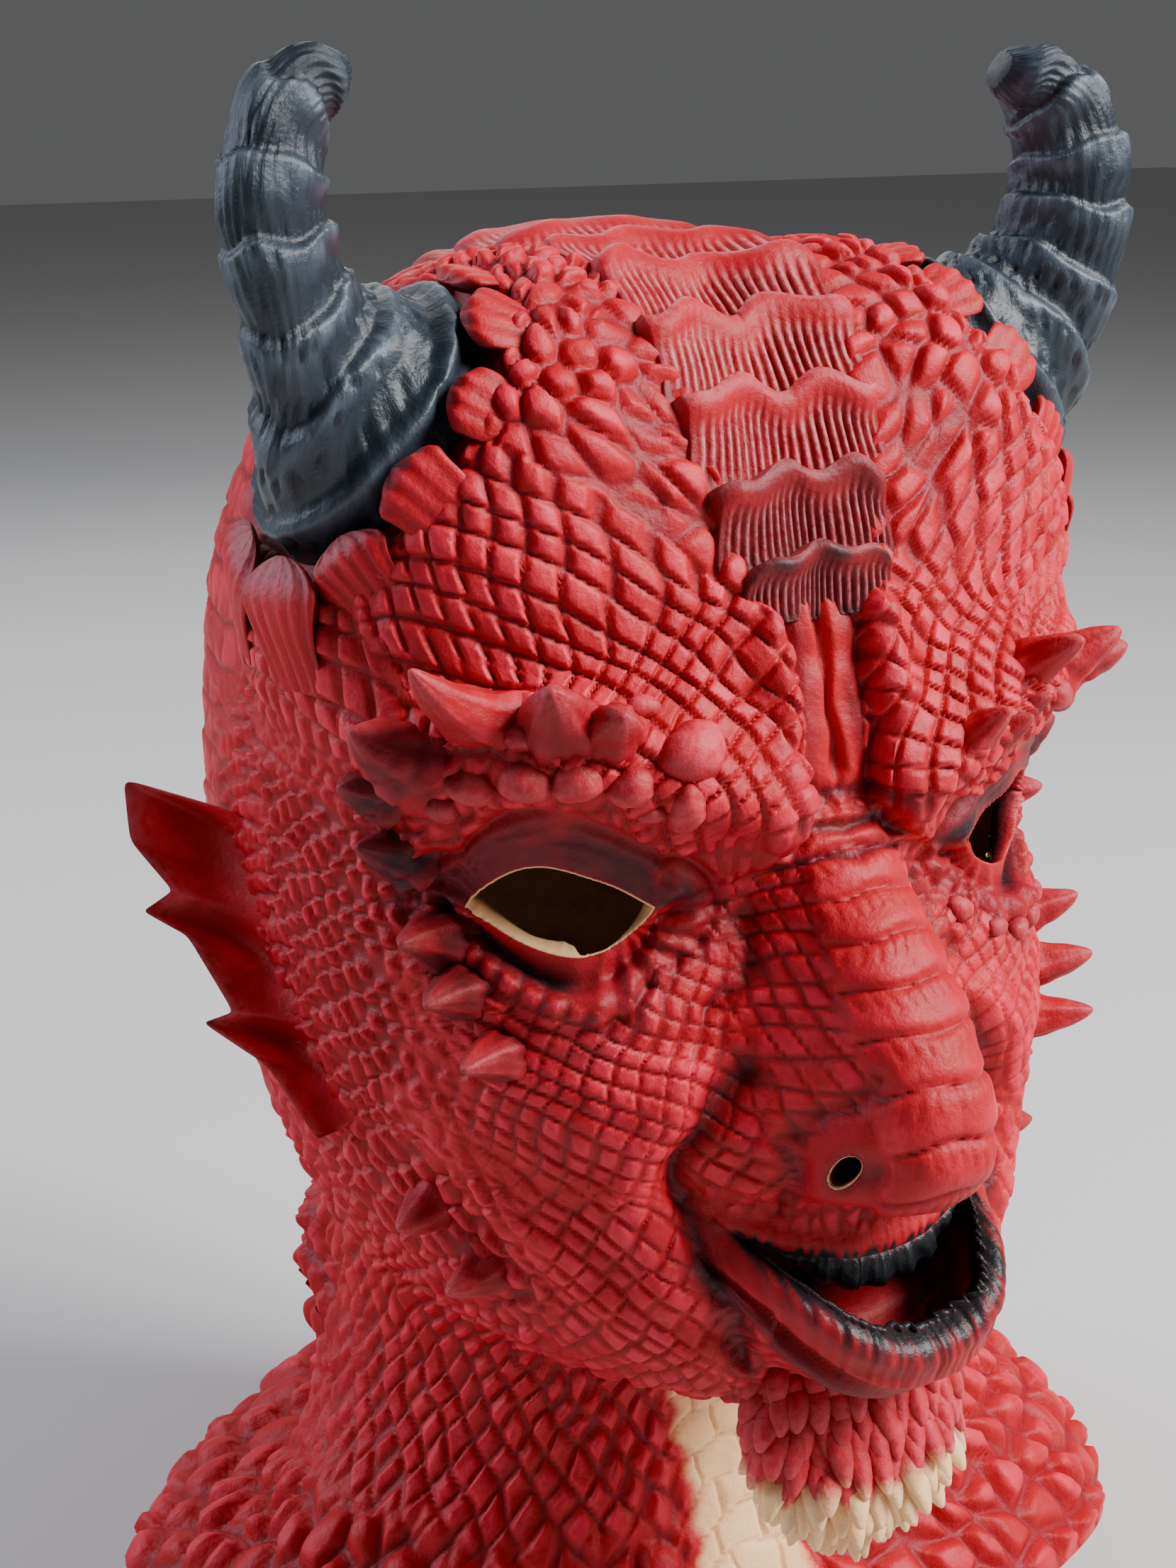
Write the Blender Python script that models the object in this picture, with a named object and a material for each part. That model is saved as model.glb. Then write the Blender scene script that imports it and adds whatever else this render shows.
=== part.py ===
"""Devil mask: a full-head latex mask with a shoulder bib and two horns set in sockets.

The mask stands upright on the rim of its bib. Its face looks along -Y, +Z is up and +X is to the
right when the face is seen from the front. The origin is on the plane of the rim, under the middle
of the whole outline. The skin is a free form, drawn once in millimetres on a mask of DRAWN_HEIGHT and
scaled by UNIT, so that it keeps its proportions. The wall, the openings and the horns are sizes of
their own.
"""
import math

import bmesh
import bpy
import numpy as np

# Driving dimensions, in metres
MASK_HEIGHT = 0.369
WALL = 0.003
EYE_HOLE_WIDTH = 0.040
EYE_HOLE_HEIGHT = 0.022
MOUTH_WIDTH = 0.058
MOUTH_OPENING = 0.010
NOSTRIL_WIDTH = 0.0115
NOSTRIL_HEIGHT = 0.007
HORN_LENGTH = 0.098
HORN_FOOT_LENGTH = 0.062
HORN_FOOT_WIDTH = 0.050
HORN_SEAT_GAP = 0.0003
PETAL_CLEARANCE = 0.001
PETAL_HEIGHT = 0.009
EAR_THICKNESS = 0.004
CREST_PLATE_WIDTH = 0.046
CREST_RISE = 0.0055

# Counts of the repeated pieces
CREST_PLATES = 20
PETALS = 10
RIDGE_BANDS = 9
HORN_RIBS = 7
HORN_SIDES = 10

# Neighbouring facets of the skin that differ by less than this are joined into one
FLAT_ENOUGH = math.radians(2.0)

# The drawing: its height, the level of the rim in it, and the size of one drawn millimetre
DRAWN_HEIGHT = 369.0
RIM_LEVEL = 25.0
UNIT = MASK_HEIGHT / DRAWN_HEIGHT

# Level lines of the plain head and bib, in drawn millimetres: a running number, the half width and
# its level, the middle's depth, the front's depth and level, the back's depth and level, and the
# squareness of the section. Front and back levels differ where the line sags under the chin.
LEVEL_LINES = (
    (10, 151, 10, 0, -114, 10, 104, 10, 2.35),
    (25, 147, 25, 0, -111, 25, 103, 25, 2.35),
    (38, 141, 38, 0, -103, 37, 100, 40, 2.35),
    (52, 130, 53, 0, -93, 50, 96, 56, 2.3),
    (70, 111, 71, 0, -80, 66, 89, 76, 2.25),
    (84, 94, 86, 2, -70, 82, 83, 92, 2.2),
    (97, 79, 98, 6, -63, 97, 79, 107, 2.1),
    (110, 69, 111, 8, -58, 112, 77, 122, 2.05),
    (124, 64, 127, 8, -57, 125, 78, 137, 2.0),
    (136, 65, 142, 5, -68, 133, 83, 150, 2.0),
    (148, 71, 155, 0, -95, 140, 87, 162, 2.1),
    (160, 77, 168, -4, -117, 151, 90, 173, 2.15),
    (175, 83, 181, -5, -124, 167, 93, 185, 2.2),
    (190, 87, 195, -5, -122, 184, 94, 197, 2.25),
    (206, 90, 209, -4, -117, 203, 95, 210, 2.35),
    (225, 92, 227, -2, -111, 225, 96, 227, 2.5),
    (245, 93, 246, 0, -106, 246, 94, 246, 2.65),
    (265, 94, 265, 0, -104, 265, 93, 265, 2.8),
    (283, 94, 283, 0, -104, 283, 93, 283, 2.8),
    (300, 94, 300, 0, -103, 300, 92, 300, 2.7),
)
DOME_BASE = 300.0
DOME_RISE = RIM_LEVEL + DRAWN_HEIGHT - DOME_BASE
DOME_STRETCH = 1.02

# The bib has slumped to the mask's left: its middle's offset, and the levels where that fades
BIB_SLUMP = 10.0
SLUMP_FULL = 68.0
SLUMP_END = 110.0

# The model's origin in the drawing: on the rim's plane, under the middle of the whole outline
ORIGIN = np.array([BIB_SLUMP, -23.9, RIM_LEVEL])

# The rim rises at the front between the two shoulders
RIM_FRONT_RISE = 16.0
RIM_RISE_ENDS = math.radians(62)

# The nose and upper lip along the face's middle: running number, depth, level, half width
NOSE_LINE = (
    (166, -124, 158, 26), (178, -124.5, 170.5, 28), (184, -126, 178, 30), (188, -127.5, 184, 31),
    (194, -126, 190, 30), (199, -125, 197, 28), (204, -126.5, 203.5, 26.5), (207, -133, 206, 25),
    (210, -141, 207.5, 24.5), (214, -146, 212, 24), (219, -148.5, 219, 23.5), (226, -147, 228, 23),
    (235, -141.5, 239, 21.5), (246, -133, 250, 20), (258, -123, 261, 18), (270, -112.5, 271, 15.5),
    (279, -105.5, 279, 13), (286, -104, 286, 12),
)

# Swellings and hollows of the face: middle across and up, radii across and up, rise, tilt
FACE_SWELLINGS = (
    (57, 262, 26, 13, -8.0, 0.05),
    (24, 270, 12, 12, -5.0, 0.0),
    (54, 246, 22, 6, 3.0, 0.0),
    (52, 224, 26, 20, 6.0, 0.0),
    (36, 200, 7, 16, -4.0, -0.5),
    (0, 305, 6, 22, -4.5, 0.0),
)

# The seat of the left horn: its middle, the way it faces, and the way its long side runs
SEAT_MIDDLE = np.array([74.0, -42.0, 357.0])
SEAT_FACING = np.array([0.79, -0.10, 0.60])
SEAT_LONG_WAY = np.array([0.56, 0.10, -0.82])
SEAT_MARGIN = 7.0

# The carved pieces, in drawn millimetres: how far a petal runs down from its tip and how its middle
# bulges, how deep the crest plates are rooted and how they curve across, and the nose rings' steps
PETAL_REACH = 13.0
PETAL_CROWN = 2.2
CREST_ROOT = 2.4
CREST_CURVE = 175.0
RING_LOW = 1.2
RING_HIGH = 3.0
LOWER_LIP_JUT = 21.0
BROW_RISE = 9.5

# Where the openings lie, on the left side of the face
EYE_MIDDLE = np.array([56.0, -86.0, 265.5])
EYE_FACING = np.array([0.52, -0.85, 0.0])
NOSTRIL_MIDDLE = np.array([18.0, -135.0, 216.0])
NOSTRIL_FACING = np.array([0.85, -0.53, -0.05])
MOUTH_CORNER_LEVEL = 197.0
MOUTH_LOWEST_LEVEL = 176.0


def unit(vector):
    """The vector at length one."""
    return vector / np.linalg.norm(vector)


def drawn(size):
    """A size in metres as drawn millimetres."""
    return size / UNIT


def fade(value, start, end):
    """A smooth step from 0 at start to 1 at end."""
    t = np.clip((value - start) / (end - start), 0, 1)
    return t * t * (3 - 2 * t)


def smooth_curve(knots, values, x):
    """A curve through the values that never overshoots them (monotone cubic)."""
    knots, values = np.asarray(knots, float), np.asarray(values, float)
    step = np.diff(knots)
    slope = np.diff(values) / step
    tangent = np.zeros_like(values)
    before, after = 2 * step[1:] + step[:-1], step[1:] + 2 * step[:-1]
    same_way = slope[:-1] * slope[1:] > 0
    safe = np.where(same_way, slope[:-1], 1), np.where(same_way, slope[1:], 1)
    mean = (before + after) / (before / safe[0] + after / safe[1])
    tangent[1:-1] = np.where(same_way, mean, 0)
    tangent[0], tangent[-1] = slope[0], slope[-1]
    i = np.clip(np.searchsorted(knots, x) - 1, 0, len(step) - 1)
    t = (x - knots[i]) / step[i]
    return ((1 + 2 * t) * (1 - t) ** 2 * values[i] + t * (1 - t) ** 2 * step[i] * tangent[i]
            + t * t * (3 - 2 * t) * values[i + 1] + t * t * (t - 1) * step[i] * tangent[i + 1])


def level_lines():
    """The head's level lines, closed by a dome over the highest of them."""
    rows = [tuple(map(float, row)) for row in LEVEL_LINES]
    _, half, _, middle, front, _, back, _, square = rows[-1]
    for degrees in range(10, 91, 10):
        angle = math.radians(degrees)
        reach, rise = max(math.cos(angle), 0.0), math.sin(angle)
        level = DOME_BASE + DOME_RISE * rise
        rows.append((DOME_BASE + DOME_RISE * angle * DOME_STRETCH, half * reach ** 0.85, level, middle,
                     front * reach * (1 - 0.1 * math.sin(2 * angle)), level, back * reach ** 0.9, level,
                     square + (2.1 - square) * rise))
    return np.array(rows)


LINES = level_lines()
TOP = LINES[-1, 0]


def plain_head(theta, run):
    """The head without its face: theta turns from the front towards +X, run climbs to the crown."""
    half, side_z, middle, front_y, front_z, back_y, back_z, square = (
        smooth_curve(LINES[:, 0], LINES[:, column], run) for column in range(1, 9))
    s, c = np.sin(theta), np.cos(theta)
    front = c > 0
    power = np.where(front, square, 2 + (square - 2) * 0.3)
    reach = (np.abs(s) ** power + np.abs(c) ** power) ** (-1 / power)
    depth = np.where(front, middle - front_y, back_y - middle)
    tip_z = np.where(front, front_z, back_z)
    slump = BIB_SLUMP * (1 - np.clip((run - SLUMP_FULL) / (SLUMP_END - SLUMP_FULL), 0, 1))
    return np.stack([half * reach * s + slump, middle - depth * reach * c,
                     side_z + (tip_z - side_z) * c * c], -1)


def outward(surface, theta, run):
    """The surface's outward direction, from the way it runs on both sides of each point."""
    turn, climb = 0.001, 0.1
    inner_run = np.clip(run, climb, TOP - climb)
    across = surface(theta + turn, run) - surface(theta - turn, run)
    up = surface(theta, inner_run + climb) - surface(theta, inner_run - climb)
    normal = np.cross(across, up)
    return normal / np.maximum(np.linalg.norm(normal, axis=-1, keepdims=True), 1e-9)


def nose_pull(run, aside, front):
    """How far the middle of the face is pulled to the nose's line, fading to its sides."""
    line = np.array(NOSE_LINE, float)
    on_line = np.clip(run, line[0, 0], line[-1, 0])
    depth, level, width = (smooth_curve(line[:, 0], line[:, column], on_line) for column in (1, 2, 3))
    start = plain_head(np.zeros_like(on_line), on_line)
    ends = fade(run, 160, 168) * (1 - fade(run, 284, 292))
    weight = np.exp(-(aside / width) ** 2.9) * front * ends
    return weight, depth - start[..., 1], level - start[..., 2]


def brow_rise(aside, level, front):
    """The arched ridge over each eye."""
    arch = 283 + 17 * np.sin(np.clip((aside - 12) / 80, 0, 1) * 2.2)
    across = fade(aside, 6, 22) * (1 - fade(aside, 82, 96))
    return BROW_RISE * np.exp(-((level - arch) / 11) ** 2) * across * front


def swelling(row, aside, level, front):
    """One rounded swelling or hollow of the face."""
    x, z, radius_x, radius_z, rise, tilt = row
    c, s = math.cos(tilt), math.sin(tilt)
    u = ((aside - x) * c + (level - z) * s) / radius_x
    v = ((level - z) * c - (aside - x) * s) / radius_z
    return rise * np.exp(-(u * u + v * v)) * front


def lower_lip(aside, level, front):
    """The weight of the thick lip that juts forward under the mouth, higher at its corners."""
    sagged = level - 11 * (aside / 29) ** 2
    return np.exp(-(np.abs(sagged - 169) / 9.5) ** 4) * np.exp(-(aside / 31) ** 4) * front


def seat_frame():
    """The horn seat's own directions: its long way, its wide way and the way it faces."""
    facing = unit(SEAT_FACING)
    long_way = unit(SEAT_LONG_WAY - facing * (SEAT_LONG_WAY @ facing))
    return long_way, np.cross(facing, long_way), facing


def seat_radii(margin):
    """The half length and half width of a horn's foot, with a margin in drawn millimetres."""
    return drawn(HORN_FOOT_LENGTH) / 2 + margin, drawn(HORN_FOOT_WIDTH) / 2 + margin


def skin(theta, run):
    """The outer skin: the head with its face, and with a flat seat for each horn."""
    theta, run = np.broadcast_arrays(np.asarray(theta, float), np.asarray(run, float))
    plain = plain_head(theta, run)
    aside, level = np.abs(plain[..., 0]), plain[..., 2]
    front = fade(-plain[..., 1], 10, 50)
    point = plain.copy()
    weight, forward, lift = nose_pull(run, aside, front)
    point[..., 1] += weight * forward
    point[..., 2] += weight * lift
    rise = brow_rise(aside, level, front)
    for row in FACE_SWELLINGS:
        rise = rise + swelling(row, aside, level, front)
    point = point + outward(plain_head, theta, run) * rise[..., None]
    point[..., 1] -= LOWER_LIP_JUT * lower_lip(aside, level, front)
    return flatten_seats(point)


def flatten_seats(point):
    """Bring the skin to the seat's plane under each horn, fading into the head around it."""
    long_way, wide_way, facing = seat_frame()
    side = np.where(point[..., :1] < 0, -1.0, 1.0) * np.array([1.0, 0, 0]) + np.array([0, 1.0, 1.0])
    away = point * side - SEAT_MIDDLE
    radius_u, radius_v = seat_radii(SEAT_MARGIN)
    far = np.hypot(away @ long_way / radius_u, away @ wide_way / radius_v)
    height = (away @ facing)[..., None]
    weight = (1 - fade(far, 1.0, 1.75))[..., None] * (height < 25)
    return (away - facing * height * weight + SEAT_MIDDLE) * side


def rim_level(theta):
    """The running number at the rim: lowest at the sides and back, raised at the front."""
    swing = np.abs(np.angle(np.exp(1j * theta)))
    return RIM_LEVEL + RIM_FRONT_RISE * (1 - fade(swing, RIM_RISE_ENDS / 2, RIM_RISE_ENDS * 1.2))


def to_world(points):
    """Drawn millimetres as metres from the model's origin."""
    return (np.asarray(points, float) - ORIGIN) * UNIT


def mirrored(points):
    """The same points on the mask's other side."""
    return np.asarray(points, float) * np.array([-1.0, 1.0, 1.0])


def add_object(name, points, faces):
    """One object from drawn points, triangulated and with its faces pointing out."""
    mesh = bpy.data.meshes.new(name)
    mesh.from_pydata([tuple(p) for p in to_world(points)], [], faces)
    shape = bmesh.new()
    shape.from_mesh(mesh)
    bmesh.ops.remove_doubles(shape, verts=shape.verts, dist=0.00002)
    bmesh.ops.dissolve_degenerate(shape, dist=0.00001, edges=shape.edges)
    bmesh.ops.triangulate(shape, faces=shape.faces)
    bmesh.ops.recalc_face_normals(shape, faces=shape.faces)
    shape.to_mesh(mesh)
    shape.free()
    obj = bpy.data.objects.new(name, mesh)
    bpy.context.scene.collection.objects.link(obj)
    return obj


def slab(name, top, bottom):
    """A closed slab between two grids of the same size."""
    rows, columns = top.shape[:2]
    size = rows * columns
    faces = []
    for r in range(rows - 1):
        for c in range(columns - 1):
            a, b = r * columns + c, (r + 1) * columns + c
            faces += [(a, a + 1, b + 1), (a, b + 1, b)]
            faces += [(size + a, size + b + 1, size + a + 1), (size + a, size + b, size + b + 1)]
    loop = ([c for c in range(columns)] + [(r + 1) * columns - 1 for r in range(1, rows)]
            + [(rows - 1) * columns + c for c in range(columns - 2, -1, -1)]
            + [r * columns for r in range(rows - 2, 0, -1)])
    for a, b in zip(loop, loop[1:] + loop[:1]):
        faces.append((b, a, size + a, size + b))
    return add_object(name, np.concatenate([top.reshape(-1, 3), bottom.reshape(-1, 3)]), faces)


def tube(name, rings, tip=None):
    """A closed body through rings of points, flat at its foot and pointed or flat at its end."""
    count, sides = rings.shape[:2]
    points = rings.reshape(-1, 3)
    faces = [tuple(range(sides))[::-1]]
    for r in range(count - 1):
        for c in range(sides):
            a, b = r * sides + c, r * sides + (c + 1) % sides
            faces.append((a, b, b + sides, a + sides))
    last = (count - 1) * sides
    if tip is None:
        faces.append(tuple(range(last, last + sides)))
    else:
        points = np.vstack([points, tip])
        faces += [(last + c, last + (c + 1) % sides, len(points) - 1) for c in range(sides)]
    return add_object(name, points, faces)


def closed_head(name, columns, rows, surface, floor):
    """A closed body whose wall is the surface on a grid, with a lid below at the floor points."""
    around, up = len(columns), len(rows)
    theta = np.tile(columns, (up, 1))
    start = rim_level(theta)
    share = fade(np.array(rows)[:, None], RIM_LEVEL, 70)
    run = np.array(rows)[:, None] + (start - RIM_LEVEL) * (1 - share)
    wall = surface(theta, run)
    crown = surface(np.zeros(1), np.array([TOP]))
    lid = floor(wall[0])
    points = np.concatenate([wall.reshape(-1, 3), crown, lid.reshape(-1, 3)])
    top_index, first_lid = around * up, around * up + 1
    faces = []
    for c in range(around):
        d = (c + 1) % around
        for r in range(up - 1):
            faces.append((r * around + c, r * around + d, (r + 1) * around + d, (r + 1) * around + c))
        faces.append(((up - 1) * around + c, (up - 1) * around + d, top_index))
        faces.append((d, c, first_lid + c, first_lid + d))
    faces.append(tuple(first_lid + c for c in range(around))[::-1])
    return add_object(name, points, faces)


def grid_columns(front_step, back_step, turn_at):
    """Angles round the head, close together over the face and wider apart behind."""
    face = np.linspace(0, turn_at, round(turn_at / front_step) + 1)
    behind = np.linspace(turn_at, 180, round((180 - turn_at) / back_step) + 1)[1:]
    half = np.concatenate([face, behind])
    return np.radians(np.concatenate([half, -half[-2:0:-1]]))


def grid_rows(steps):
    """Running numbers up the head from a list of stretches, each an end and a step."""
    rows, start = [RIM_LEVEL], RIM_LEVEL
    for end, step in steps:
        count = max(1, round((end - start) / step))
        rows += list(np.linspace(start, end, count + 1)[1:])
        start = end
    return rows


def outer_head():
    """The solid head, bib and face, closed flat at the rim."""
    rows = grid_rows(((70, 22), (130, 20), (158, 14), (204, 5.8), (220, 4), (286, 8.3),
                      (330, 15), (410, 13), (440, 15)))
    return closed_head("mask_skin", grid_columns(6.5, 16.5, 65), rows, skin,
                       lambda rim: rim * np.array([0.8, 0.8, 1.0]))


def cavity():
    """The hollow inside, one wall in from the skin and open below the rim."""
    rows = grid_rows(((70, 22), (130, 20), (158, 14), (204, 7.7), (220, 5.3), (286, 11),
                      (330, 15), (410, 20), (440, 15)))
    wall = drawn(WALL)
    below = RIM_LEVEL - 40.0

    def lining(theta, run):
        return skin(theta, run) - outward(skin, theta, run) * wall

    def lid(rim):
        return np.column_stack([rim[:, 0], rim[:, 1], np.full(len(rim), below)])

    return closed_head("cavity", grid_columns(8.125, 23.0, 65), rows, lining, lid)


def seat_point(u, v, height):
    """A point over the left horn's seat, along its long way, its wide way and away from it."""
    long_way, wide_way, facing = seat_frame()
    return (SEAT_MIDDLE + np.multiply.outer(u, long_way) + np.multiply.outer(v, wide_way)
            + np.multiply.outer(height, facing))


def petals():
    """The scalloped scales whose tips stand round each horn's foot, open at the lower back."""
    tip_u, tip_v = seat_radii(drawn(PETAL_CLEARANCE))
    across = np.array([-1.0, 0.0, 1.0])
    along = np.array([0.0, 0.45, 0.8, 1.0])
    half = np.array([5.0, 6.8, 7.0, 4.8])
    made = []
    for number in range(PETALS):
        angle = math.radians(78 + 300 * number / (PETALS - 1))
        rim = np.array([tip_u * math.cos(angle), tip_v * math.sin(angle)])
        out = unit(np.array([math.cos(angle) / tip_u, math.sin(angle) / tip_v]))
        side = np.array([-out[1], out[0]])
        reach = PETAL_REACH * (1 - along) + 0.6
        flat = rim + reach[:, None, None] * out + (half[:, None] * across)[..., None] * side
        outside = np.maximum(0, np.hypot(flat[..., 0] / tip_u, flat[..., 1] / tip_v) - 1)
        level = drawn(PETAL_HEIGHT) * (0.1 + 0.9 * along[:, None] ** 0.8) - 16 * outside ** 2
        crown = PETAL_CROWN * (1 - across ** 2)
        top = seat_point(flat[..., 0], flat[..., 1], level + crown)
        foot = seat_point(flat[..., 0], flat[..., 1], -2.0 - 10 * outside ** 1.5)
        for mirror in (False, True):
            name = f"petal_{number}_{'right' if mirror else 'left'}"
            pair = (mirrored(top), mirrored(foot)) if mirror else (top, foot)
            made.append(slab(name, *pair))
    return made


def middle_line():
    """Points up the forehead, over the crown and down the nape, with their outward directions."""
    front = np.linspace(322, TOP - 6, 40)
    back = np.linspace(TOP - 6, 122, 70)
    theta = np.concatenate([np.zeros(len(front)), np.full(len(back), math.pi)])
    run = np.concatenate([front, back])
    points, normals = skin(theta, run), outward(skin, theta, run)
    points[:, 0] = 0
    travelled = np.concatenate([[0], np.cumsum(np.linalg.norm(np.diff(points, axis=0), axis=1))])
    return travelled, points, normals


def crest():
    """Overlapping plates across the middle of the head, each raised at its upper edge."""
    travelled, points, normals = middle_line()
    shares = np.linspace(0, 1, CREST_PLATES + 1) ** 1.2
    ends = travelled[-1] * shares
    half = drawn(CREST_PLATE_WIDTH) / 2
    across = np.array([-1.0, -0.4, 0.4, 1.0])
    along = np.array([-0.15, 1.0])
    rise = drawn(CREST_RISE)
    made = []
    for number in range(CREST_PLATES):
        start, end = ends[number], ends[number + 1]
        narrow = 0.82 + 0.18 * math.sin(math.pi * (number + 1) / (CREST_PLATES + 1))
        place = start + (end - start) * (along[:, None] + 0.22 * (1 - across ** 2) * along[:, None])
        centre = np.stack([np.interp(place, travelled, points[:, k]) for k in range(3)], -1)
        up = np.stack([np.interp(place, travelled, normals[:, k]) for k in range(3)], -1)
        sideways = half * narrow * across * np.ones_like(place)
        centre = centre + sideways[..., None] * np.array([1.0, 0, 0])
        drop = sideways ** 2 / CREST_CURVE
        lift = rise * np.array([0.25, 1.0])[:, None] * (1 - 0.35 * across ** 4)
        top = centre + up * (lift - drop)[..., None]
        foot = centre - up * (drop + CREST_ROOT)[..., None]
        made.append(slab(f"crest_plate_{number}", top, foot))
    return made


def nose_ridge():
    """The raised band down the nose, stepped into rings that overlap downwards."""
    run = np.linspace(281, 213, 2 * RIDGE_BANDS + 1)
    reach = np.interp(run, (213, 245, 281), (12.0, 13.5, 9.5))
    across = np.linspace(-1, 1, 5)
    aside = reach[:, None] * across
    theta = np.arcsin(aside / 98.0)
    grid_run = np.broadcast_to(run[:, None], aside.shape)
    centre, normal = skin(theta, grid_run), outward(skin, theta, grid_run)
    low_then_high = np.where(np.arange(len(run)) % 2 == 0, RING_LOW, RING_HIGH)
    step = low_then_high[:, None] * (1 - 0.45 * across ** 2)
    step[0] = 0.4
    return [slab("nose_ridge", centre + normal * step[..., None], centre - normal * 2.0)]


def spike(name, theta_degrees, run, tip, radius, sides=6):
    """A pointed horny spike on the skin, leaning to its tip."""
    theta = math.radians(theta_degrees)
    root = skin(np.array(theta), np.array(float(run)))
    normal = outward(skin, np.array(theta), np.array(float(run)))
    tip = np.array(tip, float)
    axis = unit(tip - root)
    side = unit(np.cross(axis, [0.0, 0.0, 1.0]))
    other = np.cross(side, axis)
    angles = 2 * math.pi * np.arange(sides) / sides
    circle = np.cos(angles)[:, None] * side + np.sin(angles)[:, None] * other
    foot = root - normal * 3.0 + circle * radius
    middle = root + (tip - root) * 0.45 + circle * radius * 0.62
    return tube(name, np.stack([foot, middle]), tip)


# Spikes of the left side: name, angle, running number, tip and radius at the root
SPIKES = (
    ("brow_long", 42, 308, (93, -91, 322), 6.5),
    ("brow_short", 34, 306, (65, -104, 318), 9.0),
    ("brow_end", 52, 297, (99, -73, 306), 8.0),
    ("temple_upper", 56, 287, (100, -63, 291), 5.0),
    ("temple_lower", 55, 273, (98, -64, 279), 4.5),
    ("cheek_upper", 51, 254, (98, -83, 264), 6.0),
    ("cheek_middle", 48, 244, (94, -86, 250), 6.0),
    ("cheek_lower", 44, 232, (90, -97, 239), 5.5),
    ("jaw_upper", 60, 190, (90, -70, 191), 6.0),
    ("jaw_lower", 54, 178, (83, -80, 178), 6.0),
)

# Beads and knobs of the left side: angle, running number and radius
BEADS = (
    (39.5, 295, 5.2), (34, 295.5, 5.2), (29, 295.5, 5.0), (24.5, 293.5, 4.8), (20, 287, 4.8),
    (22, 300, 7.5), (24, 252, 4.0), (38, 242, 4.5), (45, 243, 4.5),
)


def bead(name, theta_degrees, run, radius):
    """A low round bead on the skin."""
    theta, run = np.array(math.radians(theta_degrees)), np.array(float(run))
    root, normal = skin(theta, run), outward(skin, theta, run)
    side = unit(np.cross(normal, [0.0, 0.0, 1.0]))
    other = np.cross(side, normal)
    angles = 2 * math.pi * np.arange(6) / 6
    circle = np.cos(angles)[:, None] * side + np.sin(angles)[:, None] * other
    rings = [root - normal * 3.5 + circle * radius * 0.9, root + normal * radius * 0.25 + circle * radius,
             root + normal * radius * 0.65 + circle * radius * 0.6]
    return tube(name, np.stack(rings), root + normal * radius * 0.8)


def spikes_and_beads():
    """The spikes and beads of both sides."""
    made = []
    for title, theta, run, tip, radius in SPIKES:
        made.append(spike(f"{title}_left", theta, run, tip, radius))
        made.append(spike(f"{title}_right", -theta, run, mirrored(tip), radius))
    for number, (theta, run, radius) in enumerate(BEADS):
        made.append(bead(f"bead_{number}_left", theta, run, radius))
        made.append(bead(f"bead_{number}_right", -theta, run, radius))
    return made


# The left ear: its root down the side of the head, and the outline of its free edge
EAR_ROOT = ((86, 264), (80, 248), (75, 232), (71, 218), (70, 202))
EAR_EDGE = (
    (98, -1, 268), (114, 20, 271.5), (115.5, 12, 259), (110, 2, 249), (116.5, 4, 244.5),
    (109, -5, 240), (105, -20, 226), (110.5, -16, 223), (101, -30, 216), (95, -43, 201),
)


def ears():
    """The pointed, dished ears, rooted along the sides of the head."""
    edge = np.array(EAR_EDGE, float)
    share = np.linspace(0, 1, len(EAR_ROOT))
    at = np.linspace(0, 1, len(edge))
    theta = np.radians(np.interp(at, share, [a for a, _ in EAR_ROOT]))
    run = np.interp(at, share, [b for _, b in EAR_ROOT])
    root = skin(theta, run) - outward(skin, theta, run) * 2.0
    dish = unit(np.cross(edge[-1] - edge[0], edge[1] - root[0]))
    reach = np.linalg.norm(edge - root, axis=1, keepdims=True)
    middle = (root + edge) / 2 - dish * reach * 0.12
    thick = drawn(EAR_THICKNESS) * dish
    near = np.stack([root - thick * 0.5, middle - thick * 0.5, edge - thick * 0.3])
    far = np.stack([root + thick * 0.5, middle + thick * 0.5, edge + thick * 0.3])
    return [slab("ear_left", near, far), slab("ear_right", mirrored(near), mirrored(far))]


# The beard's core down from the chin: level, depth of its middle, half width, half depth
BEARD_CORE = (
    (168, -110, 24, 8), (158, -115, 27, 9), (144, -118, 27, 9.5), (130, -119, 22, 8), (119, -119, 14, 5),
)
BEARD_ROWS = ((150, 24, 5, 7.5), (139, 22, 5, 7.0), (130, 18, 4, 6.5), (163, 27, 6, 6.0))


def beard():
    """The tuft of pointed scales that hangs from the chin, on its core."""
    angles = 2 * math.pi * np.arange(10) / 10
    rings = np.stack([np.column_stack([half * np.cos(angles), middle + deep * np.sin(angles),
                                       np.full(10, level)])
                      for level, middle, half, deep in BEARD_CORE])
    made = [tube("beard_core", rings)]
    for number, (level, spread, count, radius) in enumerate(BEARD_ROWS):
        for place, x in enumerate(np.linspace(-spread, spread, count)):
            curve = abs(x) / 30
            root = np.array([x * 0.9, -121 + 9 * curve ** 2, level + 4 * curve])
            tip = np.array([x * 1.02, -130 + 9 * curve ** 2, level - 23 + 5 * curve])
            middle = (root + tip) / 2 + np.array([0, -3.0, 0])
            circle = np.column_stack([np.cos(angles[::2]), 0.5 * np.sin(angles[::2]),
                                      np.zeros(5)]) * radius
            made.append(tube(f"beard_scale_{number}_{place}",
                             np.stack([root + circle * 0.7, middle + circle]), tip))
    return made


def lens_outline(width, height, count=6):
    """A pointed oval, corner to corner along its upper edge and back along its lower one."""
    x = np.linspace(-1, 1, count + 1)
    arch = (1 - x ** 2) ** 0.8
    upper = np.column_stack([x * width / 2, arch * height / 2])
    lower = upper[-2:0:-1] * np.array([1, -1])
    return np.vstack([upper, lower])


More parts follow.
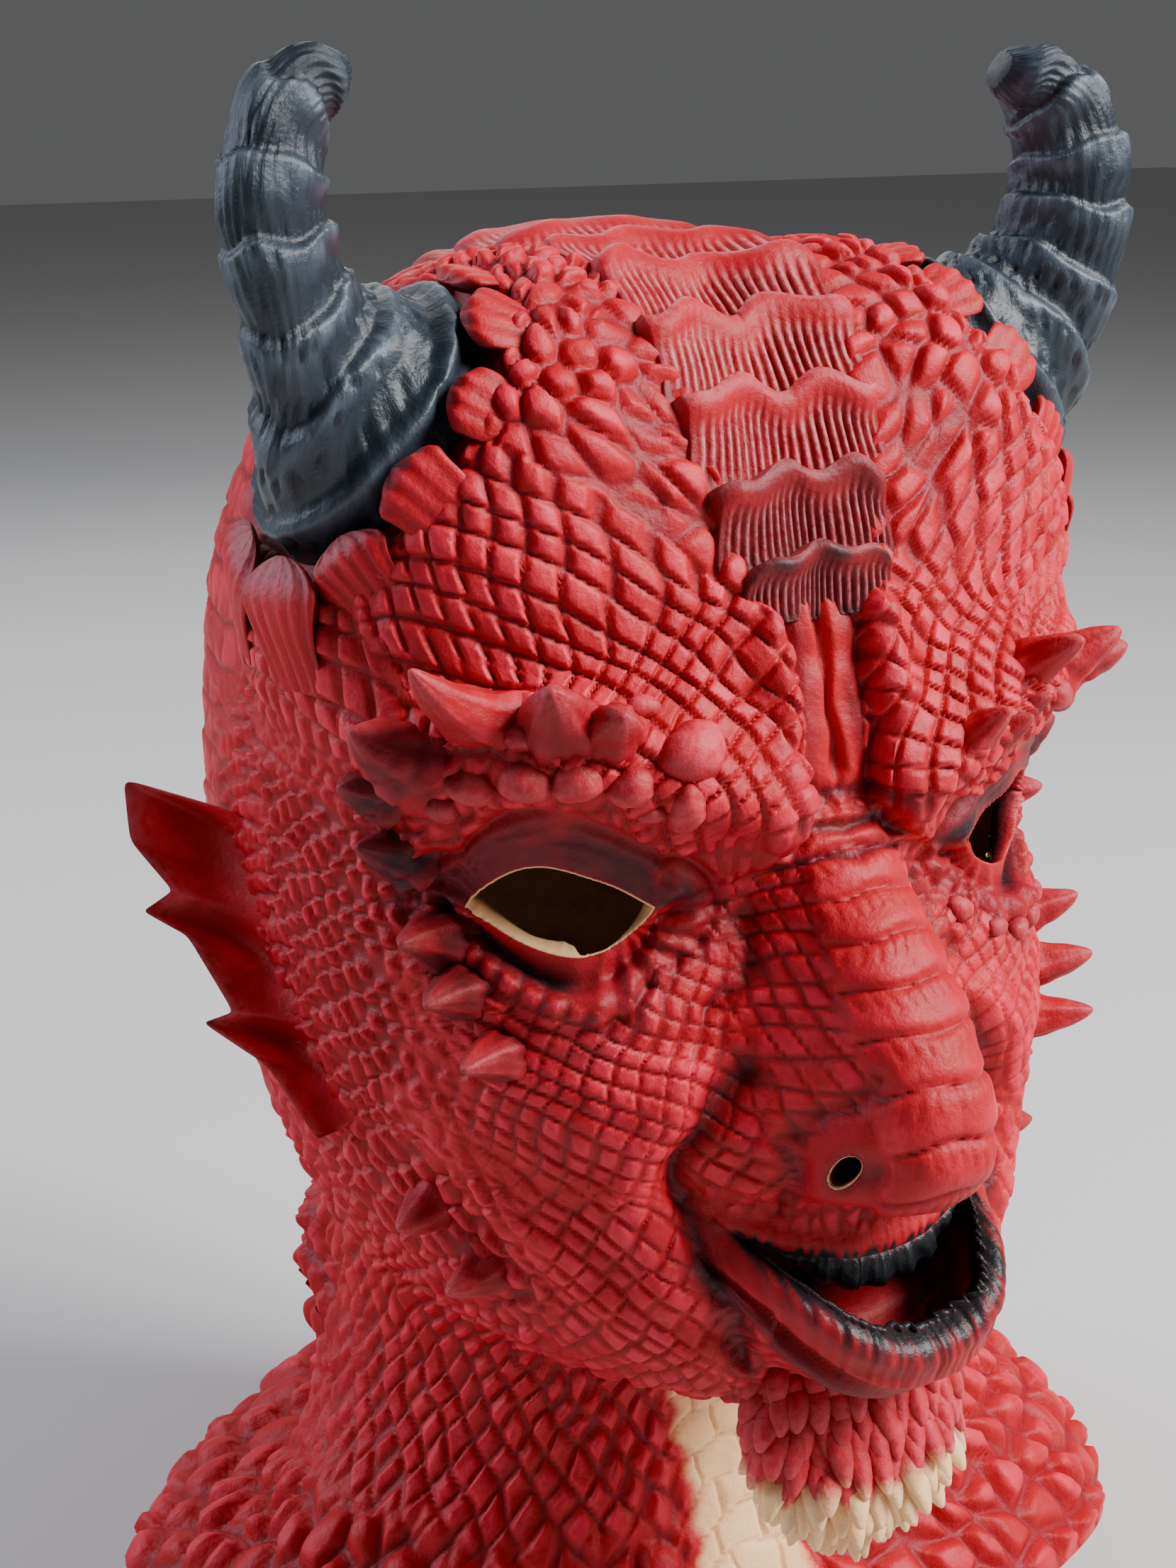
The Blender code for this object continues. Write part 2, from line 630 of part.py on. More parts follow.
def cutter(name, middle, facing, outline, depth_in, depth_out):
    """A prism with the outline, through the wall at a place on the skin."""
    facing = unit(np.asarray(facing, float))
    side = unit(np.cross([0.0, 0.0, 1.0], facing))
    up = np.cross(facing, side)
    flat = outline[:, :1] * side + outline[:, 1:] * up
    return tube(name, np.stack([middle - facing * depth_in + flat, middle + facing * depth_out + flat]))


def openings():
    """What is cut from the skin: eye holes, nostrils and the mouth."""
    made = []
    eye = lens_outline(drawn(EYE_HOLE_WIDTH), drawn(EYE_HOLE_HEIGHT))
    turns = 2 * math.pi * np.arange(8) / 8
    nostril = np.column_stack([drawn(NOSTRIL_WIDTH) / 2 * np.cos(turns),
                               drawn(NOSTRIL_HEIGHT) / 2 * np.sin(turns)])
    for word, turn in (("left", np.array([1.0, 1, 1])), ("right", np.array([-1.0, 1, 1]))):
        made.append(cutter(f"eye_hole_{word}", EYE_MIDDLE * turn, EYE_FACING * turn, eye, 14, 22))
        made.append(cutter(f"nostril_{word}", NOSTRIL_MIDDLE * turn, NOSTRIL_FACING * turn, nostril, 9, 12))
    x = np.linspace(-1, 1, 11)
    arch = 1 - x ** 2
    lowest = MOUTH_CORNER_LEVEL - MOUTH_LOWEST_LEVEL
    upper = MOUTH_CORNER_LEVEL - arch * (lowest - drawn(MOUTH_OPENING))
    lower = MOUTH_CORNER_LEVEL - arch * lowest
    across = x * drawn(MOUTH_WIDTH) / 2
    outline = np.vstack([np.column_stack([across, upper]), np.column_stack([across, lower])[-2:0:-1]])
    rings = np.stack([np.column_stack([outline[:, 0], np.full(len(outline), y), outline[:, 1]])
                      for y in (-100.0, -160.0)])
    made.append(tube("mouth_slot", rings))
    return made


# The left horn's middle line from its foot, as shares of the horn's length along X, Y and Z
HORN_LINE = (
    (0.0, 0.0, 0.0), (0.105, -0.035, 0.11), (0.19, -0.075, 0.235), (0.24, -0.095, 0.36),
    (0.26, -0.092, 0.49), (0.235, -0.072, 0.62), (0.165, -0.045, 0.72), (0.075, -0.03, 0.765),
)
HORN_GIRTH = ((0, 1.0, 1.0), (0.09, 0.96, 0.94), (0.2, 0.76, 0.68), (0.33, 0.59, 0.48), (0.48, 0.49, 0.40),
              (0.64, 0.43, 0.37), (0.8, 0.34, 0.31), (0.93, 0.22, 0.21), (1.0, 0.09, 0.09))
HORN_LONG_WAY_ABOVE = np.array([0.7, -0.7, 0.0])


def horn_rings(stations):
    """Oval rings along the horn, stepped by slanted ribs, on its seat's plane at the foot."""
    line = np.array(HORN_LINE) * drawn(HORN_LENGTH)
    travelled = np.concatenate([[0], np.cumsum(np.linalg.norm(np.diff(line, axis=0), axis=1))])
    travelled /= travelled[-1]
    long_way, wide_way, facing = seat_frame()
    half_long, half_wide = seat_radii(0)
    girth = np.array(HORN_GIRTH)
    start = SEAT_MIDDLE + facing * drawn(HORN_SEAT_GAP)
    angles = 2 * math.pi * np.arange(HORN_SIDES) / HORN_SIDES
    rings = []
    for share in stations:
        place = np.array([smooth_curve(travelled, line[:, k], share) for k in range(3)])
        ahead = np.array([smooth_curve(travelled, line[:, k], min(share + 0.02, 1)) for k in range(3)])
        behind = np.array([smooth_curve(travelled, line[:, k], max(share - 0.02, 0)) for k in range(3)])
        turned = float(fade(share, 0.0, 0.45))
        axis = unit(facing * (1 - turned) + unit(ahead - behind) * turned)
        wish = long_way * (1 - turned) + HORN_LONG_WAY_ABOVE * turned
        first = unit(wish - axis * (wish @ axis))
        second = np.cross(axis, first)
        along_rib = share * HORN_RIBS % 1.0
        swell = 1 + (0.10 * along_rib ** 2 - 0.03) * float(fade(share, 0.04, 0.15))
        radius_a = half_long * smooth_curve(girth[:, 0], girth[:, 1], share) * swell
        radius_b = half_wide * smooth_curve(girth[:, 0], girth[:, 2], share) * swell
        slant = 0.16 * radius_a * float(fade(share, 0.05, 0.2)) * float(1 - fade(share, 0.85, 1.0))
        rings.append(start + place + np.cos(angles)[:, None] * radius_a * first
                     + np.sin(angles)[:, None] * radius_b * second
                     + (slant * np.cos(angles + 0.8))[:, None] * axis)
    return np.array(rings)


def horns():
    """The two ribbed horns, each standing on its seat with a small gap."""
    stations = [0.0, 0.05]
    for rib in range(HORN_RIBS):
        stations += [(rib + share) / HORN_RIBS for share in (0.02, 0.5, 0.97)]
    stations = [s for s in stations if s == 0 or s > 0.04]
    stations = sorted(set(min(s, 1.0) for s in stations))
    rings = horn_rings(stations)
    return [tube("horn_left", rings), tube("horn_right", mirrored(rings))]


def colour(hex_value):
    """An sRGB colour written in hexadecimal, as the linear values that a material takes."""
    channels = [(hex_value >> shift & 255) / 255 for shift in (16, 8, 0)]
    return tuple(c / 12.92 if c <= 0.04045 else ((c + 0.055) / 1.055) ** 2.4 for c in channels) + (1.0,)


def material(name, hex_value, roughness):
    """A plain material with a colour and a roughness."""
    made = bpy.data.materials.new(name)
    made.use_nodes = True
    shader = made.node_tree.nodes["Principled BSDF"]
    shader.inputs["Base Color"].default_value = colour(hex_value)
    shader.inputs["Roughness"].default_value = roughness
    shader.inputs["Metallic"].default_value = 0.0
    return made


def boolean(target, operation, name, operands):
    """Join the operands to the target or cut them from it, and keep them out of the model."""
    group = bpy.data.collections.new(name)
    bpy.context.scene.collection.children.link(group)
    for operand in operands:
        bpy.context.scene.collection.objects.unlink(operand)
        group.objects.link(operand)
        operand.hide_render = True
        operand.display_type = "WIRE"
    step = target.modifiers.new(name, "BOOLEAN")
    step.operation = operation
    step.solver = "EXACT"
    step.operand_type = "COLLECTION"
    step.collection = group


def main():
    """Build the mask: the skin with its carving and openings, and the two horns."""
    for old in list(bpy.data.objects):
        bpy.data.objects.remove(old, do_unlink=True)
    latex = material("painted_latex", 0xB4373F, 0.5)
    horn = material("black_horn", 0x23272B, 0.35)
    mask = outer_head()
    carving = petals() + crest() + nose_ridge() + spikes_and_beads() + ears() + beard()
    boolean(mask, "UNION", "carving", carving)
    boolean(mask, "DIFFERENCE", "hollow", [cavity()])
    boolean(mask, "DIFFERENCE", "openings", openings())
    tidy = mask.modifiers.new("flat_faces", "DECIMATE")
    tidy.decimate_type = "DISSOLVE"
    tidy.angle_limit = FLAT_ENOUGH
    mask.data.materials.append(latex)
    for piece in horns():
        piece.data.materials.append(horn)
        piece.data.shade_smooth()


main()
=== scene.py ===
"""Devil mask in painted latex: its scaly skin, eye holes, mouth, crest, ears, beard and horns.

Shapes are worked out in drawn millimetres, on the same plain head as the part's solids, and are
turned to metres when they go into a mesh. Theta turns round the head from the front towards +X,
and run climbs from the rim of the bib to the crown.
"""
import logging
import math
from dataclasses import dataclass, field
from enum import Enum
from typing import Callable

import bpy
import numpy as np
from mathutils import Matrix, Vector


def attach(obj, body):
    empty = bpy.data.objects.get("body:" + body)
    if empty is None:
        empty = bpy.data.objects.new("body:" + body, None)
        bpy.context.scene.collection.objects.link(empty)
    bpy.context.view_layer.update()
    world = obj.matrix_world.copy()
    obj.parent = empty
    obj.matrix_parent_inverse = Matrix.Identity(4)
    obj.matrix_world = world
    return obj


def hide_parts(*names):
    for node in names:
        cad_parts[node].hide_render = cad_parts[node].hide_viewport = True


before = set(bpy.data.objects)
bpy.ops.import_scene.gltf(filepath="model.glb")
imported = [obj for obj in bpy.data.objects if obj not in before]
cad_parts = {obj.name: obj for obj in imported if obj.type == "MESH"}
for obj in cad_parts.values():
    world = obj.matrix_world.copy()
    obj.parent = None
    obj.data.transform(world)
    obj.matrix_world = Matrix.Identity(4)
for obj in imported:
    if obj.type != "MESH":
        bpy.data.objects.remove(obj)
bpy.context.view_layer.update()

LOG = logging.getLogger("devil_mask")
Array = np.ndarray

UNIT = 0.001
ORIGIN = np.array([10.0, -23.9, 25.0])
WALL = 3.0
HEAD_RADIUS = 95.0
# Painted attributes of the skin. The dark wash is dark paint and painted shade, the worn colour is rubbed
# paint and painted highlight, and the black is black paint and painted shade.
PAINTS = ("relief", "wash_and_shade", "worn_and_highlight", "cream", "black")


class Side(Enum):
    """The mask's own left and right, as a sign along X."""

    LEFT = 1.0
    RIGHT = -1.0

    def flip(self, points: Array) -> Array:
        """Points of the left side brought to this side."""
        return points * np.array([self.value, 1.0, 1.0])


def fade(value: Array | float, start: float, end: float) -> Array:
    """A smooth step, 3t^2 - 2t^3, from 0 at start to 1 at end."""
    t = np.clip((value - start) / (end - start), 0, 1)
    return t * t * (3 - 2 * t)


def hill(value: Array, middle: float, reach: float) -> Array:
    """A rounded hill, e to the minus square of the distance from the middle in reaches."""
    return np.exp(-(((value - middle) / reach) ** 2))


def between(value: Array, low: float, high: float, soft: float) -> Array:
    """1 between low and high, falling to 0 over the soft distance at each end."""
    return fade(value, low - soft, low + soft) * (1 - fade(value, high - soft, high + soft))


def unit(vector: Array) -> Array:
    """Vectors at length one along the last axis."""
    return vector / np.maximum(np.linalg.norm(vector, axis=-1, keepdims=True), 1e-9)


def full_turn(count: int) -> Array:
    """Angles evenly round a circle, without the one that closes it."""
    return np.linspace(0, 2 * math.pi, count, endpoint=False)


def mirror(x: Array) -> Array:
    """Factors for the coordinates of points: -1 along X where x is below 0, and 1 elsewhere."""
    return np.where(x < 0, -1.0, 1.0)[..., None] * np.array([1.0, 0, 0]) + np.array([0, 1.0, 1.0])


def face_middles(points: Array) -> Array:
    """The middle of each face of a grid that is closed round its columns."""
    around = np.concatenate([points, points[:, :1]], 1)
    return (around[:-1, :-1] + around[1:, :-1] + around[:-1, 1:] + around[1:, 1:]) / 4


def chance(seed: float, *cells: Array | float) -> Array:
    """A repeatable random share for each cell: the fraction of a large sine of its numbers."""
    mixed = 43758.5453 * np.sin(seed * 12.9898 + sum(c * k for c, k in zip(cells, (127.1, 311.7, 74.7))))
    return mixed - np.floor(mixed)


def ripple(a: Array, b: Array, size: float, seed: float = 0.0) -> Array:
    """A slow uneven wave between about -1 and 1, three sines across each other.

    Args:
        a: place in the first direction.
        b: place in the second direction.
        size: length of one wave.
        seed: shifts the waves against each other.
    Returns:
        The wave's height at each place.
    """
    x, y = a * (2 * math.pi / size), b * (2 * math.pi / size)
    return (np.sin(x + 0.7 * y + seed) + np.sin(1.7 * y - 0.6 * x + 2.1 * seed + 1.0)
            + np.sin(0.53 * x + 1.31 * y + 3.7 * seed)) / 3


class SmoothTable:
    """Columns of values along a running number, joined by curves that never overshoot."""

    def __init__(self, rows: tuple) -> None:
        """Work out the slope at each row: a weighted harmonic mean of the slopes beside it.

        Args:
            rows: the running number, then each column's value at it.
        """
        table = np.asarray(rows, float)
        self.knots, self.values = table[:, 0], table[:, 1:]
        step = np.diff(self.knots)[:, None]
        slope = np.diff(self.values, axis=0) / step
        before, after = 2 * step[1:] + step[:-1], step[1:] + 2 * step[:-1]
        same_way = slope[:-1] * slope[1:] > 0
        lower, upper = np.where(same_way, slope[:-1], 1), np.where(same_way, slope[1:], 1)
        self.tangents = np.zeros_like(self.values)
        self.tangents[1:-1] = np.where(same_way, (before + after) / (before / lower + after / upper), 0)
        self.tangents[0], self.tangents[-1] = slope[0], slope[-1]

    def __call__(self, x: Array) -> list[Array]:
        """Join the rows beside x by Hermite's cubic.

        Args:
            x: running numbers.
        Returns:
            Each column's values at x.
        """
        i = np.clip(np.searchsorted(self.knots, x) - 1, 0, len(self.knots) - 2)
        step = self.knots[i + 1] - self.knots[i]
        t = (x - self.knots[i]) / step
        start, end = (1 + 2 * t) * (1 - t) ** 2, t * t * (3 - 2 * t)
        leave, arrive = t * (1 - t) ** 2 * step, t * t * (t - 1) * step
        return [start * v[i] + leave * d[i] + end * v[i + 1] + arrive * d[i + 1]
                for v, d in zip(self.values.T, self.tangents.T)]


@dataclass(frozen=True)
class HornSeat:
    """The flat place on the skin where a horn stands."""

    middle: tuple = (74.0, -42.0, 357.0)
    facing: tuple = (0.79, -0.10, 0.60)
    long_way: tuple = (0.56, 0.10, -0.82)
    foot_length: float = 62.0
    foot_width: float = 50.0
    margin: float = 7.0
    # Where the flat place ends, in radii of the foot, and how far out skin is still moved
    fade_out: float = 1.75
    highest: float = 25.0

    def axes(self) -> tuple[Array, Array, Array]:
        """Square the seat's directions up with each other.

        Returns:
            Its long way, its wide way and the way it faces.
        """
        facing = unit(np.array(self.facing))
        wish = np.array(self.long_way)
        long_way = unit(wish - facing * (wish @ facing))
        return long_way, np.cross(facing, long_way), facing

    def radii(self, margin: float) -> tuple[float, float]:
        """The foot's half length and half width with a margin."""
        return self.foot_length / 2 + margin, self.foot_width / 2 + margin

    def around(self, points: Array, margin: float) -> tuple[Array, Array]:
        """Measure points of the left side from the seat's middle.

        Args:
            points: the points.
            margin: added to the foot's radii.
        Returns:
            Their distances along the seat in radii, and their heights over it.
        """
        away, (radius_u, radius_v) = points - np.array(self.middle), self.radii(margin)
        long_way, wide_way, facing = self.axes()
        return np.hypot(away @ long_way / radius_u, away @ wide_way / radius_v), away @ facing

    def point(self, u: Array, v: Array, height: Array) -> Array:
        """Points over the seat: middle + u long way + v wide way + height away from it.

        Args:
            u: distances along the long way.
            v: distances along the wide way.
            height: distances out from the seat.
        Returns:
            The points, on the left side.
        """
        long_way, wide_way, facing = self.axes()
        return (np.array(self.middle) + np.asarray(u)[..., None] * long_way
                + np.asarray(v)[..., None] * wide_way + np.asarray(height)[..., None] * facing)

    def flatten(self, point: Array) -> Array:
        """Skin points moved to the seat's plane inside the foot, fading out around it.

        Args:
            point: points of the skin on either side.
        Returns:
            The moved points.
        """
        side = mirror(point[..., 0])
        far, height = self.around(point * side, self.margin)
        weight = (1 - fade(far, 1.0, self.fade_out)) * (height < self.highest)
        return (point * side - self.axes()[2] * (height * weight)[..., None]) * side


@dataclass(frozen=True)
class Head:
    """The smooth form of head, face and bib, without scales."""

    rim_level: float = 25.0
    dome_base: float = 300.0
    dome_rise: float = 94.0
    bib_slump: float = 10.0
    rim_front_rise: float = 16.0
    rim_rise_ends: float = 62.0
    seat: HornSeat = HornSeat()
    # Arch of the brow: rise, half thickness, level at its inner end and rise to its peak
    brow: tuple = (9.5, 11.0, 283.0, 17.0)
    # Lower lip: how far it stands out, level of its middle, half height, half width and smile
    lower_lip: tuple = (21.0, 169.0, 9.5, 31.0, 11.0)
    # Hollows round the head: depth, turn in degrees and its reach, running number and its reach
    hollows: tuple = ((4.5, 126, 30, 338, 62), (16.0, 124, 38, 81, 18))
    # How far the crown lies below the plain dome
    crown_drop: float = 2.6
    # Running number, half width and its level, middle's depth, front's depth and level, back's
    # depth and level, and the squareness of the section
    level_lines: tuple = (
        (10, 151, 10, 0, -114, 10, 104, 10, 2.35), (25, 147, 25, 0, -111, 25, 103, 25, 2.35),
        (38, 141, 38, 0, -103, 37, 100, 40, 2.35), (52, 130, 53, 0, -93, 50, 96, 56, 2.3),
        (70, 111, 71, 0, -80, 66, 89, 76, 2.25), (84, 94, 86, 2, -70, 82, 83, 92, 2.2),
        (97, 79, 98, 6, -63, 97, 79, 107, 2.1), (110, 69, 111, 8, -58, 112, 77, 122, 2.05),
        (124, 64, 127, 8, -57, 125, 78, 137, 2.0), (136, 65, 142, 5, -68, 133, 83, 150, 2.0),
        (148, 71, 155, 0, -95, 140, 87, 162, 2.1), (160, 77, 168, -4, -117, 151, 90, 173, 2.15),
        (175, 83, 181, -5, -124, 167, 93, 185, 2.2), (190, 87, 195, -5, -122, 184, 94, 197, 2.25),
        (206, 90, 209, -4, -117, 203, 95, 210, 2.35), (225, 92, 227, -2, -111, 225, 96, 227, 2.5),
        (245, 93, 246, 0, -106, 246, 94, 246, 2.65), (265, 94, 265, 0, -104, 265, 93, 265, 2.8),
        (283, 94, 283, 0, -104, 283, 93, 283, 2.8), (300, 94, 300, 0, -103, 300, 92, 300, 2.7),
    )
    # The nose and upper lip along the middle: running number, depth, level and half width
    nose_line: tuple = (
        (166, -124, 158, 26), (178, -124.5, 170.5, 28), (184, -126, 178, 30), (188, -127.5, 184, 31),
        (194, -126, 190, 30), (199, -125, 197, 28), (204, -126.5, 203.5, 26.5), (207, -133, 206, 25),
        (210, -141, 207.5, 24.5), (214, -146, 212, 24), (219, -148.5, 219, 23.5), (226, -147, 228, 23),
        (235, -141.5, 239, 21.5), (246, -133, 250, 20), (258, -123, 261, 18), (270, -112.5, 271, 15.5),
        (279, -105.5, 279, 13), (286, -104, 286, 12),
    )
    # Swellings and hollows: middle across and up, radii across and up, rise, tilt
    swellings: tuple = (
        (57, 262, 26, 13, -8.0, 0.05), (24, 270, 12, 12, -5.0, 0.0), (54, 246, 22, 6, 3.0, 0.0),
        (52, 224, 26, 20, 6.0, 0.0), (36, 200, 7, 16, -4.0, -0.5), (0, 305, 6, 22, -4.5, 0.0),
    )

    def __post_init__(self) -> None:
        """Close the level lines with a dome: quarter turns of 10 degrees above the highest."""
        rows = [tuple(map(float, row)) for row in self.level_lines]
        _, half, _, middle, front, _, back, _, square = rows[-1]
        for angle in np.radians(np.arange(10, 91, 10)):
            reach, rise = max(math.cos(angle), 0.0), math.sin(angle)
            level = self.dome_base + self.dome_rise * rise
            rows.append((self.dome_base + self.dome_rise * angle * 1.02, half * reach ** 0.85, level,
                         middle, front * reach * (1 - 0.1 * math.sin(2 * angle)), level,
                         back * reach ** 0.9, level, square + (2.1 - square) * rise))
        object.__setattr__(self, "lines", SmoothTable(tuple(rows)))
        object.__setattr__(self, "nose", SmoothTable(self.nose_line))
        object.__setattr__(self, "top", rows[-1][0])

    def plain(self, theta: Array, run: Array) -> Array:
        """The head without its face: rounded rectangles, |x|^p + |y|^p = 1, stacked by level.

        Args:
            theta: turn round the head in radians.
            run: running number up the head.
        Returns:
            The points.
        """
        half, side_z, middle, front_y, front_z, back_y, back_z, square = self.lines(run)
        s, c = np.sin(theta), np.cos(theta)
        front = c > 0
        power = np.where(front, square, 2 + (square - 2) * 0.3)
        reach = (np.abs(s) ** power + np.abs(c) ** power) ** (-1 / power)
        depth = np.where(front, middle - front_y, back_y - middle)
        tip_z = np.where(front, front_z, back_z)
        slump = self.bib_slump * (1 - np.clip((run - 68.0) / 42.0, 0, 1))
        return np.stack([half * reach * s + slump, middle - depth * reach * c,
                         side_z + (tip_z - side_z) * c * c], -1)

    def normal(self, surface: Callable[[Array, Array], Array], theta: Array, run: Array) -> Array:
        """The outward direction: the surface's way across, crossed with its way up.

        Args:
            surface: the surface as a function of theta and run.
            theta: turn round the head in radians.
            run: running number up the head.
        Returns:
            Directions of length one.
        """
        inner = np.clip(run, 0.1, self.top - 0.1)
        across = surface(theta + 0.001, run) - surface(theta - 0.001, run)
        up = surface(theta, inner + 0.1) - surface(theta, inner - 0.1)
        return unit(np.cross(across, up))

    def skin(self, theta: Array, run: Array) -> Array:
        """The smooth face: plain head + nose pull + swellings along the normal + lower lip.

        Each swelling, hollow and arch is a hill, e to the minus square of the distance from its
        middle in reaches, times its rise.

        Args:
            theta: turn round the head in radians.
            run: running number up the head.
        Returns:
            The points of the smooth skin.
        """
        theta, run = np.broadcast_arrays(np.asarray(theta, float), np.asarray(run, float))
        plain = self.plain(theta, run)
        aside, level = np.abs(plain[..., 0]), plain[..., 2]
        front = fade(-plain[..., 1], 10, 50)
        point = plain.copy()
        on_line = np.clip(run, self.nose.knots[0], self.nose.knots[-1])
        nose_depth, nose_height, width = self.nose(on_line)
        start = self.plain(np.zeros_like(on_line), on_line)
        ends = fade(run, 160, 168) * (1 - fade(run, 284, 292))
        weight = np.exp(-(aside / width) ** 2.9) * front * ends
        point[..., 1] += weight * (nose_depth - start[..., 1])
        point[..., 2] += weight * (nose_height - start[..., 2])
        brow_rise, brow_reach, brow_level, brow_arch = self.brow
        arch = brow_level + brow_arch * np.sin(np.clip((aside - 12) / 80, 0, 1) * 2.2)
        rise = (brow_rise * hill(level, arch, brow_reach) * fade(aside, 6, 22)
                * (1 - fade(aside, 82, 96)) * front)
        for x, z, radius_x, radius_z, swell, tilt in self.swellings:
            c, s = math.cos(tilt), math.sin(tilt)
            u = ((aside - x) * c + (level - z) * s) / radius_x
            v = ((level - z) * c - (aside - x) * s) / radius_z
            rise = rise + swell * np.exp(-(u * u + v * v)) * front
        swing = np.degrees(np.abs(np.angle(np.exp(1j * theta))))
        for depth, turn, turn_reach, at_run, run_reach in self.hollows:
            rise = rise - depth * hill(swing, turn, turn_reach) * hill(run, at_run, run_reach)
        rise = rise - self.crown_drop * fade(run, 385, 430)
        point = point + self.normal(self.plain, theta, run) * rise[..., None]
        stand, lip_level, lip_reach, lip_width, smile = self.lower_lip
        sagged = level - smile * (aside / 29) ** 2
        lip = (np.exp(-(np.abs(sagged - lip_level) / lip_reach) ** 4)
               * np.exp(-(aside / lip_width) ** 4) * front)
        point[..., 1] -= stand * lip
        return self.seat.flatten(point)

    def rim(self, theta: Array) -> Array:
        """The running number at the rim, raised at the front between the shoulders."""
        swing = np.degrees(np.abs(np.angle(np.exp(1j * theta))))
        return self.rim_level + self.rim_front_rise * (
            1 - fade(swing, self.rim_rise_ends / 2, self.rim_rise_ends * 1.2))

    def run_from(self, theta: Array, row: Array) -> Array:
        """The running number of a grid row, squeezed near the bottom to end on the rim."""
        return row + (self.rim(theta) - self.rim_level) * (1 - fade(row, self.rim_level, 70))


@dataclass(frozen=True)
class Bricks:
    """Rows of puffed bricks with sharp grooves between them."""

    along: float
    across: float
    bevel: float = 1.6
    stagger: float = 0.5
    lean: float = 0.0
    jitter: float = 0.25
    seed: float = 1.0

    def height(self, a: Array, b: Array, side: Array) -> Array:
        """Each cell rises by smooth steps from its four edges to a low dome, higher at one end.

        Args:
            a: place along the rows in millimetres.
            b: place across the rows in millimetres.
            side: -1 or 1, which makes the two sides differ.
        Returns:
            The height, 0 in the grooves and about 1 on top.
        """
        row_place = b / self.across
        row = np.floor(row_place)
        slip = self.stagger * (row % 2) + self.jitter * chance(self.seed + 3, row, side)
        place = a / self.along + slip
        place = place + 0.12 * np.sin(2 * math.pi * place + 5 * chance(self.seed + 7, row, side))
        column = np.floor(place)
        x, y = place - column, row_place - row
        edge_x = np.minimum(x, 1 - x) * self.along
        edge_y = np.minimum(y, 1 - y) * self.across
        top = fade(edge_x, 0.0, self.bevel) * fade(edge_y, 0.0, self.bevel)
        dome = 1 - 0.16 * ((2 * x - 1) ** 2 + (2 * y - 1) ** 2)
        slope = self.lean * (x - 0.5) - 0.6 * self.lean * (y - 0.5)
        return top * (dome + slope) * (0.8 + 0.35 * chance(self.seed, row, column, side))


@dataclass(frozen=True)
class Pebbles:
    """Irregular rounded lumps packed against each other."""

    size: float
    groove: float = 0.3
    spread: float = 0.8
    seed: float = 1.0

    def height(self, a: Array, b: Array, side: Array) -> Array:
        """Distance to the nearest scattered point against the second: a dome ending in a groove.

        Args:
            a: place along the rows in millimetres.
            b: place across the rows in millimetres.
            side: -1 or 1, which makes the two sides differ.
        Returns:
            The height, 0 in the grooves and about 1 on top.
        """
        x, y = a / self.size, b / self.size
        cell_x, cell_y = np.floor(x), np.floor(y)
        nearest, second = np.full_like(x, 9.0), np.full_like(x, 9.0)
        lift = np.zeros_like(x)
        for step_x in (-1, 0, 1):
            for step_y in (-1, 0, 1):
                i, j = cell_x + step_x, cell_y + step_y
                dx = i + 0.5 + self.spread * (chance(self.seed, i, j, side) - 0.5) - x
                dy = j + 0.5 + self.spread * (chance(self.seed + 5, i, j, side) - 0.5) - y
                far = np.hypot(dx, dy)
                closer = far < nearest
                second = np.where(closer, nearest, np.minimum(second, far))
                lift = np.where(closer, chance(self.seed + 9, i, j, side), lift)
                nearest = np.where(closer, far, nearest)
        return fade(second - nearest, 0, self.groove) * (1.05 - 1.1 * nearest ** 2) * (0.6 + 0.55 * lift)


@dataclass
class Place:
    """Where points lie on the skin, in the terms that the scales and folds use."""

    theta: Array
    run: Array
    point: Array

    def __post_init__(self) -> None:
        """Work out the terms: side, degrees from the front, millimetres across, and the rest.

        U and v are the places across and up with a slow waver, left is the point brought to the
        left side, and arc and bearing go round a middle beside the brow, as its rows of scales do.
        """
        swing = np.angle(np.exp(1j * self.theta))
        self.side = np.where(swing < 0, -1.0, 1.0)
        self.turn = np.degrees(np.abs(swing))
        self.across = np.abs(swing) * HEAD_RADIUS
        self.aside = np.abs(self.point[..., 0])
        self.left = np.concatenate([self.aside[..., None], self.point[..., 1:]], -1)
        self.front = fade(-self.point[..., 1], 10, 50)
        behind = self.point[..., 1] > 0
        start = np.where(behind, 121.0, 322.0)
        half = np.where(behind, np.interp(self.run, (122, 260, 449), (15, 20, 24)),
                        np.interp(self.run, (322, 345, 370, 430), (13, 17, 21, 24)))
        self.crest = (1 - fade(self.aside - half, -1.5, 2.0)) * fade(self.run, start, start + 4)
        self.u = self.across + 1.3 * ripple(self.across, self.run, 31.0, 1.0) * self.side
        self.v = self.run + 1.3 * ripple(self.across, self.run, 27.0, 3.0)
        centre_u, centre_v = 75.0, 270.0
        self.arc = np.hypot(centre_u - self.u, self.v - centre_v)
        self.bearing = np.arctan2(centre_u - self.u, self.v - centre_v)


@dataclass(frozen=True)
class Zone:
    """A part of the skin, with the scales on it and how far they rise."""

    pattern: Bricks | Pebbles
    rise: float
    weight: Callable[[Place], Array]
    ways: Callable[[Place], tuple[Array, Array]] = lambda p: (p.u, p.v)


def rotated(p: Place, degrees: float, stretch: float = 1.0) -> tuple[Array, Array]:
    """The skin's two ways turned by an angle."""
    c, s = math.cos(math.radians(degrees)), math.sin(math.radians(degrees))
    return p.u * c + p.v * s, (p.v * c - p.u * s) * stretch


